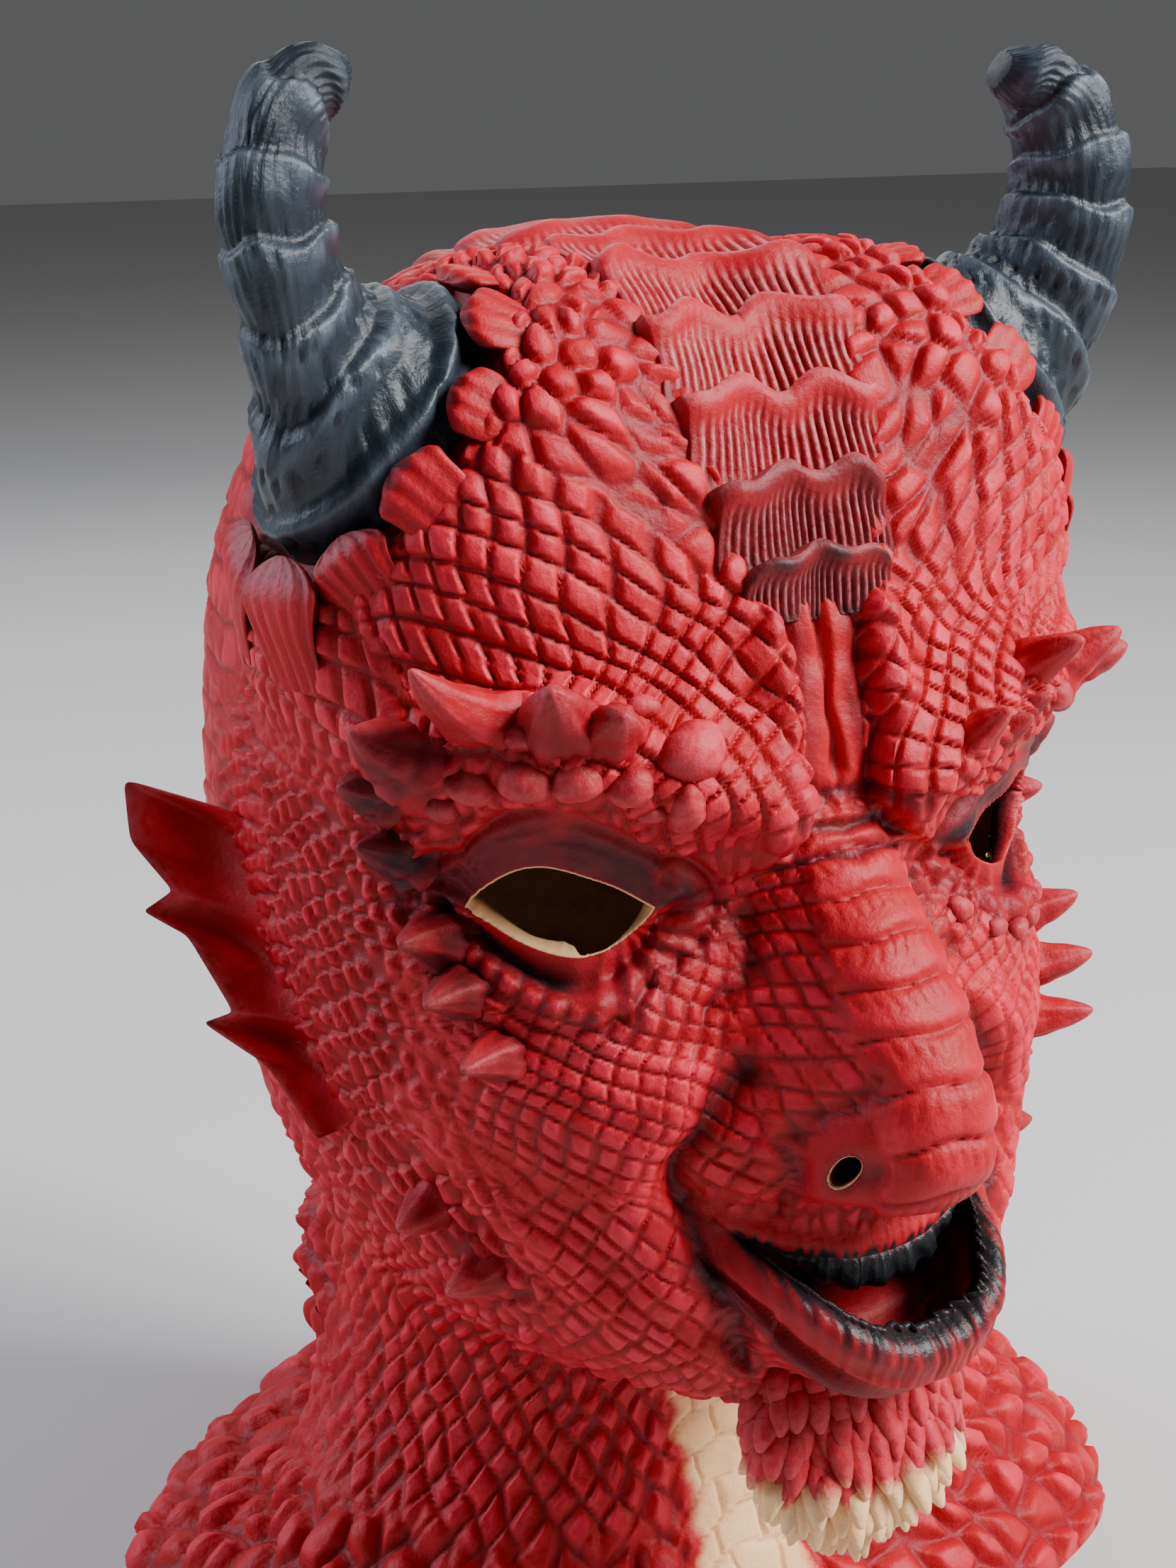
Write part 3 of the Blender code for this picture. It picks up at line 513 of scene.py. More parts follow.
ZONES = (
    Zone(Bricks(5.0, 5.4, bevel=0.9, stagger=0.0, jitter=0.14, lean=0.4, seed=2), 1.8,
         lambda p: between(p.arc, 32, 80.5, 1.0) * between(p.bearing, -0.25, 1.62, 0.04)
         * fade(p.u, 7.5, 10) * fade(p.run, 279, 284) * (p.turn < 90),
         lambda p: (p.bearing * 60.0, p.arc)),
    Zone(Bricks(4.9, 5.6, bevel=1.1, stagger=0.15, lean=0.3, seed=5), 1.6,
         lambda p: between(p.u, 84, 136, 3) * between(p.v, 283, 330, 3),
         lambda p: rotated(p, 9)),
    Zone(Pebbles(7.0, 0.42, 0.95, 3), 2.7,
         lambda p: fade(p.arc, 79.5, 82.0) * between(p.v, 296, 418, 7) * (1 - fade(p.turn, 58, 80))
         * fade(p.u, 8, 12)),
    Zone(Pebbles(11.5, 0.2, 0.75, 4), 1.5, lambda p: fade(p.v, 404, 424)),
    Zone(Bricks(10.5, 11.5, bevel=1.7, seed=6), 1.0,
         lambda p: fade(p.turn, 84, 100) * between(p.v, 176, 414, 10)),
    Zone(Bricks(6.0, 4.4, bevel=1.5, jitter=0.8, lean=0.5, seed=7), 1.8,
         lambda p: between(p.u, 82, 165, 4) * between(p.v, 204, 296, 6),
         lambda p: (p.v + 0.3 * p.u + 1.2 * ripple(p.u, p.v, 13.0, 8.0), p.u - 0.25 * p.v)),
    Zone(Bricks(4.3, 4.1, bevel=0.75, stagger=0.0, jitter=0.1, seed=8), 0.9,
         lambda p: between(p.u, 27, 94, 4) * between(p.v, 205, 256, 4),
         lambda p: rotated(p, 24)),
    Zone(Bricks(3.7, 3.9, bevel=0.7, stagger=0.0, jitter=0.2, seed=9), 0.75,
         lambda p: between(p.u, 4, 30, 2) * between(p.v, 214, 282, 4),
         lambda p: rotated(p, -12, 0.9)),
    Zone(Pebbles(3.6, 0.34, 0.8, 10), 0.8, lambda p: (1 - fade(p.u, 36, 46)) * between(p.v, 164, 209, 4)),
    Zone(Bricks(5.2, 5.0, bevel=1.0, stagger=0.0, jitter=0.3, seed=23), 1.2,
         lambda p: between(p.u, 40, 80, 4) * between(p.v, 156, 209, 5),
         lambda p: rotated(p, 36)),
    Zone(Bricks(8.2, 5.2, bevel=1.6, jitter=0.7, lean=0.6, seed=11), 1.9,
         lambda p: between(p.u, 76, 170, 5) * between(p.v, 150, 209, 6),
         lambda p: (p.v + 0.35 * p.u, p.u - 0.25 * p.v)),
    Zone(Bricks(7.0, 7.6, bevel=1.7, stagger=0.0, jitter=0.3, lean=0.8, seed=12), 1.6,
         lambda p: between(p.v, 84, 153, 6) * (1 - fade(p.turn, 88, 112)),
         lambda p: rotated(p, 42)),
    Zone(Pebbles(9.0, 0.5, 0.75, 22), 3.6,
         lambda p: between(p.v, 80, 153, 6) * fade(p.turn, 88, 112)),
    Zone(Pebbles(10.5, 0.5, 0.75, 13), 4.4, lambda p: between(p.v, -40, 86, 7),
         lambda p: (p.u, p.v + 0.25 * p.u)),
    Zone(Pebbles(4.6, 0.32, 0.8, 14), 1.1,
         lambda p: between(p.u, 14, 98, 4) * between(p.v, 270, 296, 4) * (1 - fade(p.arc, 30, 34))),
)


@dataclass(frozen=True)
class Fold:
    """A crease or ridge of the skin along a path of across and running numbers."""

    path: tuple
    width: float
    rise: float
    # How much darker the fold is painted: dark paint, and painted shade in the creases
    wash_and_shade: float = 0.0

    def strength(self, u: Array, v: Array) -> Array:
        """e to the minus square of the distance to the path, in widths.

        Args:
            u: places across.
            v: running numbers.
        Returns:
            1 on the path, falling to 0 beside it.
        """
        points = np.array(self.path, float)
        far = np.full(u.shape, 1e9)
        for (u0, v0), (u1, v1) in zip(points[:-1], points[1:]):
            du, dv = u1 - u0, v1 - v0
            share = np.clip(((u - u0) * du + (v - v0) * dv) / (du * du + dv * dv), 0, 1)
            far = np.minimum(far, np.hypot(u - u0 - share * du, v - v0 - share * dv))
        return np.exp(-((far / self.width) ** 2))


FOLDS = (
    Fold(((10, 326), (8.0, 312), (9.5, 298), (8.0, 286)), 1.6, -3.0, 0.1),
    Fold(((3.5, 324), (2.5, 305), (3.5, 290), (0, 282)), 2.2, 1.9),
    Fold(((15, 322), (14, 306), (15.5, 295), (14, 286), (19, 277), (28, 271), (37, 270)), 4.6, 3.6, 0.12),
    Fold(((29, 231), (37, 222), (43, 211), (43, 200), (42, 190), (39, 180), (34, 171)), 2.6, -3.6, 0.6),
    Fold(((40, 229), (51, 216), (54, 204), (52, 191), (47, 177)), 6.0, 2.2),
    Fold(((13, 233), (20, 227), (25, 219), (26, 210), (24, 205)), 1.8, -2.4, 0.2),
    Fold(((0, 158.5), (14, 160.5), (27, 168)), 2.6, -2.6, 0.2),
    Fold(((98, 276), (88, 262), (84, 248)), 2.5, -1.5, 0.2),
    Fold(((22, 262), (25, 250), (32, 243)), 2.4, -2.0, 0.35),
    Fold(((15, 276), (8, 279), (0, 277)), 1.5, -1.8, 0.7),
    Fold(((16, 271), (8, 273.5), (0, 272)), 1.3, -1.2, 0.6),
    Fold(((17, 283), (9, 284), (0, 285)), 1.6, -1.2, 0.5),
    Fold(((95, 216), (80, 196), (62, 180)), 5.0, 1.6),
)


@dataclass(frozen=True)
class Opening:
    """A hole through the skin, drawn flat in front of its place on the left side."""

    side: Side
    middle: tuple
    facing: tuple
    reach: float

    def axes(self) -> tuple[Array, Array, Array]:
        """Square the hole's directions up with each other.

        Returns:
            Sideways away from the face's middle, up, and out.
        """
        out = unit(np.array(self.facing, float))
        aside = unit(np.cross([0.0, 0.0, 1.0], out))
        return aside, np.cross(out, aside), out

    def flat(self, points: Array) -> tuple[Array, Array, Array]:
        """Lay points out flat in front of the hole.

        Args:
            points: points in space.
        Returns:
            Their sideways, up and outward distances from the hole's middle.
        """
        away = self.side.flip(points) - np.array(self.middle)
        aside, up, out = self.axes()
        return away @ aside, away @ up, away @ out

    def distance(self, s: Array, t: Array) -> Array:
        """Millimetres outside the hole's edge, below 0 inside it."""
        raise NotImplementedError

    def middle_line(self, s: Array) -> Array:
        """The level halfway between the hole's upper and lower edges."""
        return np.zeros_like(s)

    def outside(self, points: Array) -> Array:
        """The distance for points in space, large where they are far in front or behind."""
        s, t, depth = self.flat(points)
        return np.where(np.abs(depth) < self.reach, self.distance(s, t), 99.0)

    def slope(self, s: Array, t: Array) -> tuple[Array, Array]:
        """How the distance changes sideways and up."""
        h = 0.05
        return ((self.distance(s + h, t) - self.distance(s - h, t)) / (2 * h),
                (self.distance(s, t + h) - self.distance(s, t - h)) / (2 * h))

    def snap(self, points: Array) -> tuple[Array, Array, Array]:
        """Points moved to the edge by Newton's steps along the slope.

        Args:
            points: skin points next to the edge.
        Returns:
            The points on the edge, the direction into the hole at each, and its turn round it.
        """
        aside, up, _ = self.axes()
        moved = self.side.flip(points).copy()
        for _ in range(6):
            away = moved - np.array(self.middle)
            s, t = away @ aside, away @ up
            value, (ds, dt) = self.distance(s, t), self.slope(s, t)
            step = np.clip(value / np.maximum(ds * ds + dt * dt, 0.05), -0.8, 0.8)
            moved -= (step * ds)[:, None] * aside + (step * dt)[:, None] * up
        away = moved - np.array(self.middle)
        s, t = away @ aside, away @ up
        ds, dt = self.slope(s, t)
        inward = -unit(ds[:, None] * aside + dt[:, None] * up)
        turn = np.arctan2(t - self.middle_line(s), s)
        return self.side.flip(moved), self.side.flip(inward), turn


@dataclass(frozen=True)
class EyeHole(Opening):
    """The almond-shaped hole between the lids."""

    inner: float = -19.0
    outer: float = 20.5
    tilt: float = -0.01
    upper: float = 10.5
    lower: float = 10.5

    def edges(self, s: Array) -> tuple[Array, Array, Array]:
        """The chord between the corners, and the lids' heights above and below it.

        The upper lid is highest towards the outer corner and the lower one lowest towards the
        inner corner: a power of the sine of the share across, stretched by another power.

        Args:
            s: sideways distances.
        Returns:
            The chord's level, and the heights above and below it.
        """
        q = np.clip((s - self.inner) / (self.outer - self.inner), 1e-4, 1 - 1e-4)
        above = self.upper * np.sin(math.pi * q ** 1.3) ** 0.85
        below = self.lower * np.sin(math.pi * q ** 0.8) ** 0.95
        return self.tilt * s, above, below

    def middle_line(self, s: Array) -> Array:
        """The level halfway between the lids."""
        chord, above, below = self.edges(s)
        return chord + (above - below) / 2

    def distance(self, s: Array, t: Array) -> Array:
        """How far a point is above the upper lid's edge or below the lower one's, or past a corner.

        Args:
            s: sideways distances.
            t: distances up.
        Returns:
            Millimetres outside the edge.
        """
        chord, above, below = self.edges(s)
        past = np.maximum(s - self.outer, 0) + np.maximum(self.inner - s, 0)
        beyond = np.maximum(t - chord - above, chord - below - t)
        return np.where(past > 0, np.hypot(past, np.maximum(beyond, 0)), beyond * 0.9)


@dataclass(frozen=True)
class Nostril(Opening):
    """The small oval hole under the nose's wing."""

    half_width: float = 4.9
    half_height: float = 2.7
    lean: float = -0.95

    def distance(self, s: Array, t: Array) -> Array:
        """The leaned oval's scaled radius less one, in millimetres.

        Args:
            s: sideways distances.
            t: distances up.
        Returns:
            Millimetres outside the edge.
        """
        long_way = s * math.cos(self.lean) + t * math.sin(self.lean)
        wide_way = t * math.cos(self.lean) - s * math.sin(self.lean)
        return (np.hypot(long_way / self.half_width, wide_way / self.half_height) - 1) * self.half_height


@dataclass(frozen=True)
class Mouth(Opening):
    """The smiling slot between the lips, higher at its corners."""

    half_width: float = 29.5
    corner: float = 11.0
    opening: float = 10.5

    def middle_line(self, s: Array) -> Array:
        """A parabola, lowest in the middle."""
        return self.corner * np.minimum((s / self.half_width) ** 2, 1.4)

    def distance(self, s: Array, t: Array) -> Array:
        """How far a point is from the middle line, less the slot's half height there.

        Args:
            s: sideways distances.
            t: distances up.
        Returns:
            Millimetres outside the edge.
        """
        q = np.clip(np.abs(s) / self.half_width, 0, 1)
        half = self.opening / 2 * (1 - q ** 2.2) ** 0.75
        past = np.maximum(np.abs(s) - self.half_width, 0)
        beyond = np.abs(t - self.middle_line(s)) - half
        return np.where(past > 0, np.hypot(past, np.maximum(beyond, 0)), beyond * 0.92)


EYES = tuple(EyeHole(side, (56.0, -86.0, 265.5), (0.52, -0.85, 0.0), 24.0) for side in Side)
NOSTRILS = tuple(Nostril(side, (18.0, -135.0, 216.0), (0.85, -0.53, -0.05), 11.0) for side in Side)
MOUTH = Mouth(Side.LEFT, (0.0, -135.0, 183.0), (0.0, -1.0, 0.0), 30.0)
OPENINGS = (*EYES, *NOSTRILS, MOUTH)


@dataclass
class Relief:
    """How far the skin's detail stands over the smooth head, and the paint on it."""

    height: Array
    paint: dict[str, Array]


@dataclass
class SkinDetail:
    """Scales, folds, lids, lips and nose rings of the skin, as a height over the smooth head."""

    head: Head
    ring_height: float = 8.4
    ring_rise: float = 2.3

    def __call__(self, theta: Array, run: Array) -> tuple[Array, Array, Relief]:
        """The detailed skin at pairs of theta and run.

        Args:
            theta: turn round the head in radians.
            run: running number up the head.
        Returns:
            The points, the smooth head's outward directions, and the relief with its paint.
        """
        point = self.head.skin(theta, run)
        normal = self.head.normal(self.head.skin, theta, run)
        place = Place(theta, run, point)
        tone, rise = self.scales(place)
        smooth = np.zeros_like(run)
        relief = Relief(np.zeros_like(run), {name: np.zeros_like(run) for name in PAINTS})
        for add in (self.lids, self.nose_rings, self.lips, self.nostril_rims, self.seat_cushion):
            smooth = np.maximum(smooth, add(place, relief))
        keep = (1 - smooth) * (1 - place.crest)
        relief.height = relief.height + rise * keep
        relief.paint["relief"] = relief.paint["relief"] + tone * keep
        self.folds(place, relief)
        self.throat(place, relief)
        relief.height = relief.height + 0.5 * ripple(place.u, place.v, 17.0, 4.0) * fade(run, 60, 90)
        relief.height = relief.height + self.nape_shelf(place)
        edge = fade(run - self.head.rim(theta), 0.0, 5.0)
        relief.height = relief.height * edge
        relief.paint = {name: np.clip(value, 0, 1) for name, value in relief.paint.items()}
        return point + normal * relief.height[..., None], normal, relief

    def nape_shelf(self, p: Place) -> Array:
        """A thick ledge round the nape: a steep climb up to its upper edge, and a soft fall below."""
        ledge = (1 - fade(p.v, 127, 133)) * fade(p.v, 92, 118)
        return 7.5 * ledge * between(p.turn, 112, 172, 9) * (1 + 0.3 * ripple(p.u, p.v, 16.0, 6.0))

    def scales(self, p: Place) -> tuple[Array, Array]:
        """The zones' patterns, each weighted by its zone and divided by the sum of the weights.

        Args:
            p: the places.
        Returns:
            The scales' tone and their height in millimetres.
        """
        total, tone, rise = np.full(p.run.shape, 0.02), np.zeros(p.run.shape), np.zeros(p.run.shape)
        for zone in ZONES:
            weight = zone.weight(p) * np.ones(p.run.shape)
            live = weight > 0.003
            if not live.any():
                continue
            a, b = (w[live] for w in zone.ways(p))
            value = zone.pattern.height(a, b, p.side[live])
            total[live] += weight[live]
            tone[live] += weight[live] * value
            rise[live] += weight[live] * value * zone.rise
        return tone / total, rise / total

    def lids(self, p: Place, relief: Relief) -> Array:
        """Rolled lids round the eye holes, the crease above and the bags below.

        The roll is a hill on the distance from the hole's edge; creases and bags are hills at
        set distances.

        Args:
            p: the places.
            relief: heights and paint, which are added to.
        Returns:
            Where the skin has no scales, from 0 to 1.
        """
        eye = EYES[0]
        s, t, depth = eye.flat(p.left)
        far = eye.distance(s, t)
        near = (np.abs(depth) < 30) * p.front
        chord = eye.edges(s)[0]
        above = fade(t - chord, -2.5, 2.5)
        inner = 1 - fade(s, -14, 6)
        lumps = np.sin(s / 1.7 + 1.5 * np.sin(s / 4.1)) * fade(far, 5, 8)
        lumps = 1 + (0.15 + 0.25 * (p.side > 0)) * lumps
        outer = fade(s, -9, 3)
        upper = (1.4 * hill(far, 0, 4.0) - 1.9 * hill(far, 11.5, 1.9) + 1.3 * hill(far, 15.5, 2.4)
                 + 0.2 * np.sin(far * 1.9 + 1.1 * np.sin(s / 4.0) + 0.15 * s) * between(far, 4, 17, 2))
        fan = np.sin(np.arctan2(t + 3, s + 12) * 15 + 0.25 * far) * inner
        lower = (3.2 * hill(far, 0, 2.6) - (1.4 + 1.8 * outer) * hill(far, 4.4, 1.5)
                 + 1.5 * hill(far, 8.6, 2.2) * lumps + 0.7 * fan * between(far, 1.5, 15, 2)
                 - 0.9 * hill(far, 12.6, 1.3) + 0.7 * hill(far, 15.5, 1.6) * lumps)
        corner = between(s, 17, 40, 5) * hill(t, 0, 13) * np.sin(np.arctan2(t, s - 12) * 17) * 0.7
        reach = np.exp(-np.maximum(far - 12, 0) ** 2 / 30) * near
        shape = (upper * above + lower * (1 - above)) * reach + corner * near * (1 - fade(far, 14, 22))
        relief.height = relief.height + np.where(far > -6, shape, 0)
        smooth = np.maximum((1 - fade(far, 10, 15)) * above,
                            (1 - fade(far, 3.0 + 6 * inner, 6.5 + 6 * inner)) * (1 - above)) * near
        relief.paint["relief"] += smooth * (0.62 + 0.12 * ripple(s, t, 7.0, 5.0))
        # Darker round the eye: dark paint over the upper lid and in a band below, and painted shade in
        # the groove under the lower lid's outer fold
        lower_lid_dark_and_shade = (0.45 * between(far, 3.0, 17, 3) * (0.4 + 0.6 * inner)
                    + 0.9 * hill(far, 4.6, 1.8) * outer)
        upper_lid_dark = 0.9 * (1 - fade(far, 6, 15)) * (0.75 + 0.25 * inner)
        relief.paint["wash_and_shade"] += near * (upper_lid_dark * above + lower_lid_dark_and_shade * (1 - above))
        return smooth

    def nose_rings(self, p: Place, relief: Relief) -> Array:
        """Rounded rings across the nose, each a flat-topped hump that sweeps up at its sides.

        The hump is (1 - |2f - 1|^5)^0.7 of the share f of the ring's height.

        Args:
            p: the places.
            relief: heights and paint, which are added to.
        Returns:
            Where the skin has no scales, from 0 to 1.
        """
        reach = np.interp(p.run, (203, 212, 245, 281), (9.0, 13.5, 14.5, 10.0))
        lie = 1 - fade(p.aside, reach - 1.6, reach + 0.8)
        lie = lie * between(p.run, 206.5, 281.5, 1.2) * p.front
        swept = p.run + p.aside ** 2 / 105 + 0.5 * np.sin(p.point[..., 0] / 3.1 + p.run / 9)
        place = (282.0 - swept) / self.ring_height
        share = place - np.floor(place)
        hump = np.clip(1 - np.abs(2 * share - 1) ** 5.0, 0, 1) ** 0.7
        crown = 1 - 0.35 * (p.aside / reach) ** 2
        cuts = np.maximum(0, np.sin(p.point[..., 0] * 2.3 + 4 * np.sin(place * 2))) ** 3
        cuts = 0.3 * cuts * (share < 0.45)
        relief.height = relief.height + lie * (0.3 + self.ring_rise * crown * hump * (0.88 + 0.2 * share)
                                               - cuts * hump)
        relief.paint["relief"] += lie * (0.8 * hump * (0.6 + 0.4 * share) - 0.5 * cuts)
        return lie

    def lips(self, p: Place, relief: Relief) -> Array:
        """Ribbed lips: waves across the mouth's edge, a black inner edge and a rim line below.

        Args:
            p: the places.
            relief: heights and paint, which are added to.
        Returns:
            Where the skin has no scales, from 0 to 1.
        """
        s, t, depth = MOUTH.flat(p.point)
        far = MOUTH.distance(s, t)
        near = (depth > -26) * p.front * (1 - fade(p.aside, 36, 44))
        below = 1 - fade(t - MOUTH.middle_line(s), -2.0, 1.0)
        cut = s / 4.9 + 0.4 * np.sin(s / 3.7) + 0.15 * np.sin(s * 1.3)
        ribs = (0.28 * np.sin(s * 2.6 + 1.9 * np.sin(s / 3.1) + 0.15 * far)
                + 0.5 - 1.1 * np.exp(-(((cut - np.round(cut)) / 0.08) ** 2)))
        lower = below * near
        roll = (1.9 * hill(far, 3.4, 3.6) + 0.34 * ribs * between(far, 0.5, 12, 1.5)
                - 1.8 * hill(far, 12.6, 1.0) + 1.6 * hill(far, 15.2, 1.7))
        upper = (1 - below) * near
        lip = 1.4 * hill(far, 2.4, 2.8) + 0.22 * ribs * between(far, 0.3, 7, 1.5)
        band = between(far, -8, 13.5, 1.5)
        relief.height = relief.height + lower * roll + upper * lip * (1 - fade(far, 5, 10))
        relief.paint["relief"] += (lower * band * (0.5 + 0.3 * ribs)
                                   + upper * (1 - fade(far, 4, 7)) * (0.5 + 0.3 * ribs))
        uneven = far + 0.9 * np.sin(s * 1.9 + 2 * np.sin(s * 0.7))
        relief.paint["black"] += (lower * (1 - fade(uneven, 2.0, 6.4))
                                  + upper * (1 - fade(uneven, 0.2, 1.8)))
        relief.paint["wash_and_shade"] += lower * (0.35 * hill(far, 6.5, 3) + 0.5 * hill(far, 15, 3))
        return np.maximum(lower * between(far, -8, 17, 1.5), upper * (1 - fade(far, 4, 7)))

    def nostril_rims(self, p: Place, relief: Relief) -> Array:
        """A low rounded rim round each nostril, a hill on the distance from its edge.

        The hollow beside it is a leaned hill across and up.

        Args:
            p: the places.
            relief: heights and paint, which are added to.
        Returns:
            Where the skin has no scales, from 0 to 1.
        """
        s, t, depth = NOSTRILS[0].flat(p.left)
        far = NOSTRILS[0].distance(s, t)
        near = (np.abs(depth) < 14) * (1 - fade(far, 4, 8))
        hollow = hill(s, -6.5, 5.5) * hill(t + 0.3 * s, -1.5, 4.2) * (np.abs(depth) < 14)
        relief.height = relief.height + near * 1.1 * hill(far, 1.2, 2.2) - 2.3 * hollow
        # The nostril's edge and the hollow beside it are painted darker: painted shade
        relief.paint["relief"] += near * 0.5 - 0.35 * hollow
        relief.paint["wash_and_shade"] += 0.3 * near * (1 - fade(far, 0, 3)) + 0.3 * hollow
        return np.maximum(near, np.clip(hollow * 1.6, 0, 1))

    def seat_cushion(self, p: Place, relief: Relief) -> Array:
        """No scales under the horns' feet, where the seats are flat.

        Args:
            p: the places.
            relief: heights and paint, which are added to.
        Returns:
            Where the skin has no scales, from 0 to 1.
        """
        far, height = self.head.seat.around(p.left, 0.0)
        on_seat = (1 - fade(far, 1.05, 1.3)) * (np.abs(height) < 12)
        # Painted shade under and round the horn's foot: darker red and dark wash
        relief.paint["relief"] += on_seat * 0.3
        relief.paint["wash_and_shade"] += on_seat * 0.6
        return on_seat

    def folds(self, p: Place, relief: Relief) -> None:
        """Add the creases and ridges, each a hill on the distance from its path.

        Args:
            p: the places.
            relief: heights and paint, which are added to.
        """
        for fold in FOLDS:
            strength = fold.strength(p.u, p.v) * (p.turn < 100)
            relief.height += strength * fold.rise
            # Darker along the folds: dark paint, and painted shade in the creases
            relief.paint["wash_and_shade"] += strength * fold.wash_and_shade
            relief.paint["relief"] += strength * math.copysign(0.45, fold.rise)

    def throat(self, p: Place, relief: Relief) -> None:
        """Broad cream plates down the throat, in rows 7.2 mm high, in place of the scales.

        Args:
            p: the places.
            relief: heights and paint, which are added to.
        """
        aside = p.point[..., 0] - 3.5
        reach = np.interp(p.run, (25, 90, 165), (26.0, 14.5, 20.0))
        edge = np.abs(aside) + 1.6 * ripple(p.v, p.v, 15.0) - reach
        shown = fade(-p.point[..., 1], 20, 45) * (1 - fade(p.run, 150, 166))
        lie = (1 - fade(edge, -3.0, 3.0)) * shown
        plates = Bricks(13.0, 7.2, bevel=1.3, stagger=0.5, jitter=0.35, seed=21)
        value = plates.height(aside + 40.5 + 0.8 * ripple(aside, p.v, 12.0), p.v + 0.02 * aside ** 2,
                              np.ones_like(p.v))
        relief.height += lie * (1.1 * value - relief.height)
        relief.paint["relief"] += lie * (0.3 + 0.6 * value - relief.paint["relief"])
        pale = 0.95 - 0.35 * hill(p.run, 160, 12)
        relief.paint["cream"] += (1 - fade(edge, -9.0, 3.5)) * shown * pale
        relief.paint["wash_and_shade"] *= 1 - lie


@dataclass
class Patch:
    """A grid of points, closed round its columns if it wraps.

    Its paint is a value for each point, or one for a row, a column or the whole patch.
    """

    points: Array
    paint: dict[str, Array | float] = field(default_factory=dict)
    wrap: bool = False
    close_start: bool = False
    close_end: bool = False
    keep: Array | None = None
    normals: Array | None = None
    inside_out: bool = False

    def faces(self) -> tuple[Array, Array]:
        """Quads between neighbouring rows and columns, and fans of triangles at closed ends.

        Returns:
            The corners of the quads and of the triangles.
        """
        rows, columns = self.points.shape[:2]
        c = np.arange(columns if self.wrap else columns - 1)
        r = np.arange(rows - 1)[:, None]
        a, b = r * columns + c, r * columns + (c + 1) % columns
        quads = np.stack([a, b, b + columns, a + columns], -1)
        if self.keep is not None:
            quads = quads[self.keep]
        quads = quads.reshape(-1, 4)
        ring = np.arange(columns)
        fans = []
        if self.close_start:
            fans.append(np.stack([(ring + 1) % columns, ring, np.full(columns, rows * columns)], -1))
        if self.close_end:
            last = (rows - 1) * columns
            tip = rows * columns + int(self.close_start)
            ahead = last + (ring + 1) % columns
            fans.append(np.stack([last + ring, ahead, np.full(columns, tip)], -1))
        tris = np.concatenate(fans) if fans else np.zeros((0, 3), int)
        return (quads[:, ::-1], tris[:, ::-1]) if self.inside_out else (quads, tris)

    def corners(self, values: Array) -> Array:
        """A grid of values as a list, with the means of the closed ends' rings after them.

        Args:
            values: a value or a vector for each point of the grid.
        Returns:
            The list, in the order of the mesh's vertices.
        """
        flat = [values.reshape(-1, *values.shape[2:])]
        if self.close_start:
            flat.append(values[0].mean(0)[None])
        if self.close_end:
            flat.append(values[-1].mean(0)[None])
        return np.concatenate(flat)


class Piece:
    """Patches that make one object of the mask."""

    def __init__(self, name: str, node: str, slot: str) -> None:
        """Start an empty piece.

        Args:
            name: the object's name.
            node: the solid that it stands for.
            slot: the name of a material slot; not used.
        """
        self.name, self.node, self.slot = name, node, slot
        self.patches: list[Patch] = []

    def add(self, patch: Patch) -> None:
        """Take one more patch."""
        self.patches.append(patch)

    def build(self, finish: bpy.types.Material) -> bpy.types.Object:
        """Put the patches into one smooth-shaded mesh with its paint as point attributes.

        Args:
            finish: the material.
        Returns:
            The object.
        """
        points, quads, tris, start = [], [], [], 0
        for patch in self.patches:
            corners = patch.corners(patch.points)
            patch_quads, patch_tris = patch.faces()
            points.append(corners)
            quads.append(patch_quads + start)
            tris.append(patch_tris + start)
            start += len(corners)
        points, quads, tris = np.concatenate(points), np.concatenate(quads), np.concatenate(tris)
        mesh = bpy.data.meshes.new(self.name)
        mesh.vertices.add(len(points))
        mesh.vertices.foreach_set("co", ((points - ORIGIN) * UNIT).astype(np.float32).ravel())
        mesh.loops.add(quads.size + tris.size)
        order = np.concatenate([quads.ravel(), tris.ravel()])
        mesh.loops.foreach_set("vertex_index", order.astype(np.int32))
        mesh.polygons.add(len(quads) + len(tris))
        starts = np.concatenate([np.arange(len(quads)) * 4, quads.size + np.arange(len(tris)) * 3])
        mesh.polygons.foreach_set("loop_start", starts.astype(np.int32))
        mesh.polygons.foreach_set("use_smooth", np.ones(len(starts), bool))
        mesh.update(calc_edges=True)
        for name in PAINTS:
            values = np.concatenate([
                patch.corners(np.broadcast_to(patch.paint.get(name, 0.0), patch.points.shape[:2]))
                for patch in self.patches])
            painted = mesh.attributes.new(name, "FLOAT", "POINT")
            painted.data.foreach_set("value", values.astype(np.float32))
        if "grain" in self.patches[0].paint:
            values = np.concatenate([patch.corners(patch.paint["grain"]) for patch in self.patches])
            grain = mesh.attributes.new("grain", "FLOAT_VECTOR", "POINT")
            grain.data.foreach_set("vector", values.astype(np.float32).ravel())
        if all(patch.normals is not None for patch in self.patches):
            normals = np.concatenate([patch.corners(patch.normals) for patch in self.patches])
            mesh.normals_split_custom_set_from_vertices(normals.tolist())
        mesh.materials.append(finish)
        mesh.validate()
        made = bpy.data.objects.new(self.name, mesh)
        bpy.context.scene.collection.objects.link(made)
        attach(made, "root")
        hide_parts(self.node)
        triangles = 2 * len(quads) + len(tris)
        size = [round(float(x)) for x in np.ptp(points, axis=0)]
        LOG.info("%s: %d triangles, %s mm", self.name, triangles, size)
        return made


def grid_normals(points: Array, wrap: bool) -> Array:
    """Outward directions of a grid from the differences between neighbours across and up.

    Args:
        points: the grid.
        wrap: whether it is closed round its columns.
    Returns:
        Directions of length one.
    """
    if wrap:
        padded = np.concatenate([points[:, -1:], points, points[:, :1]], 1)
        across = padded[:, 2:] - padded[:, :-2]
    else:
        across = np.gradient(points, axis=1)
    return unit(np.cross(across, np.gradient(points, axis=0)))


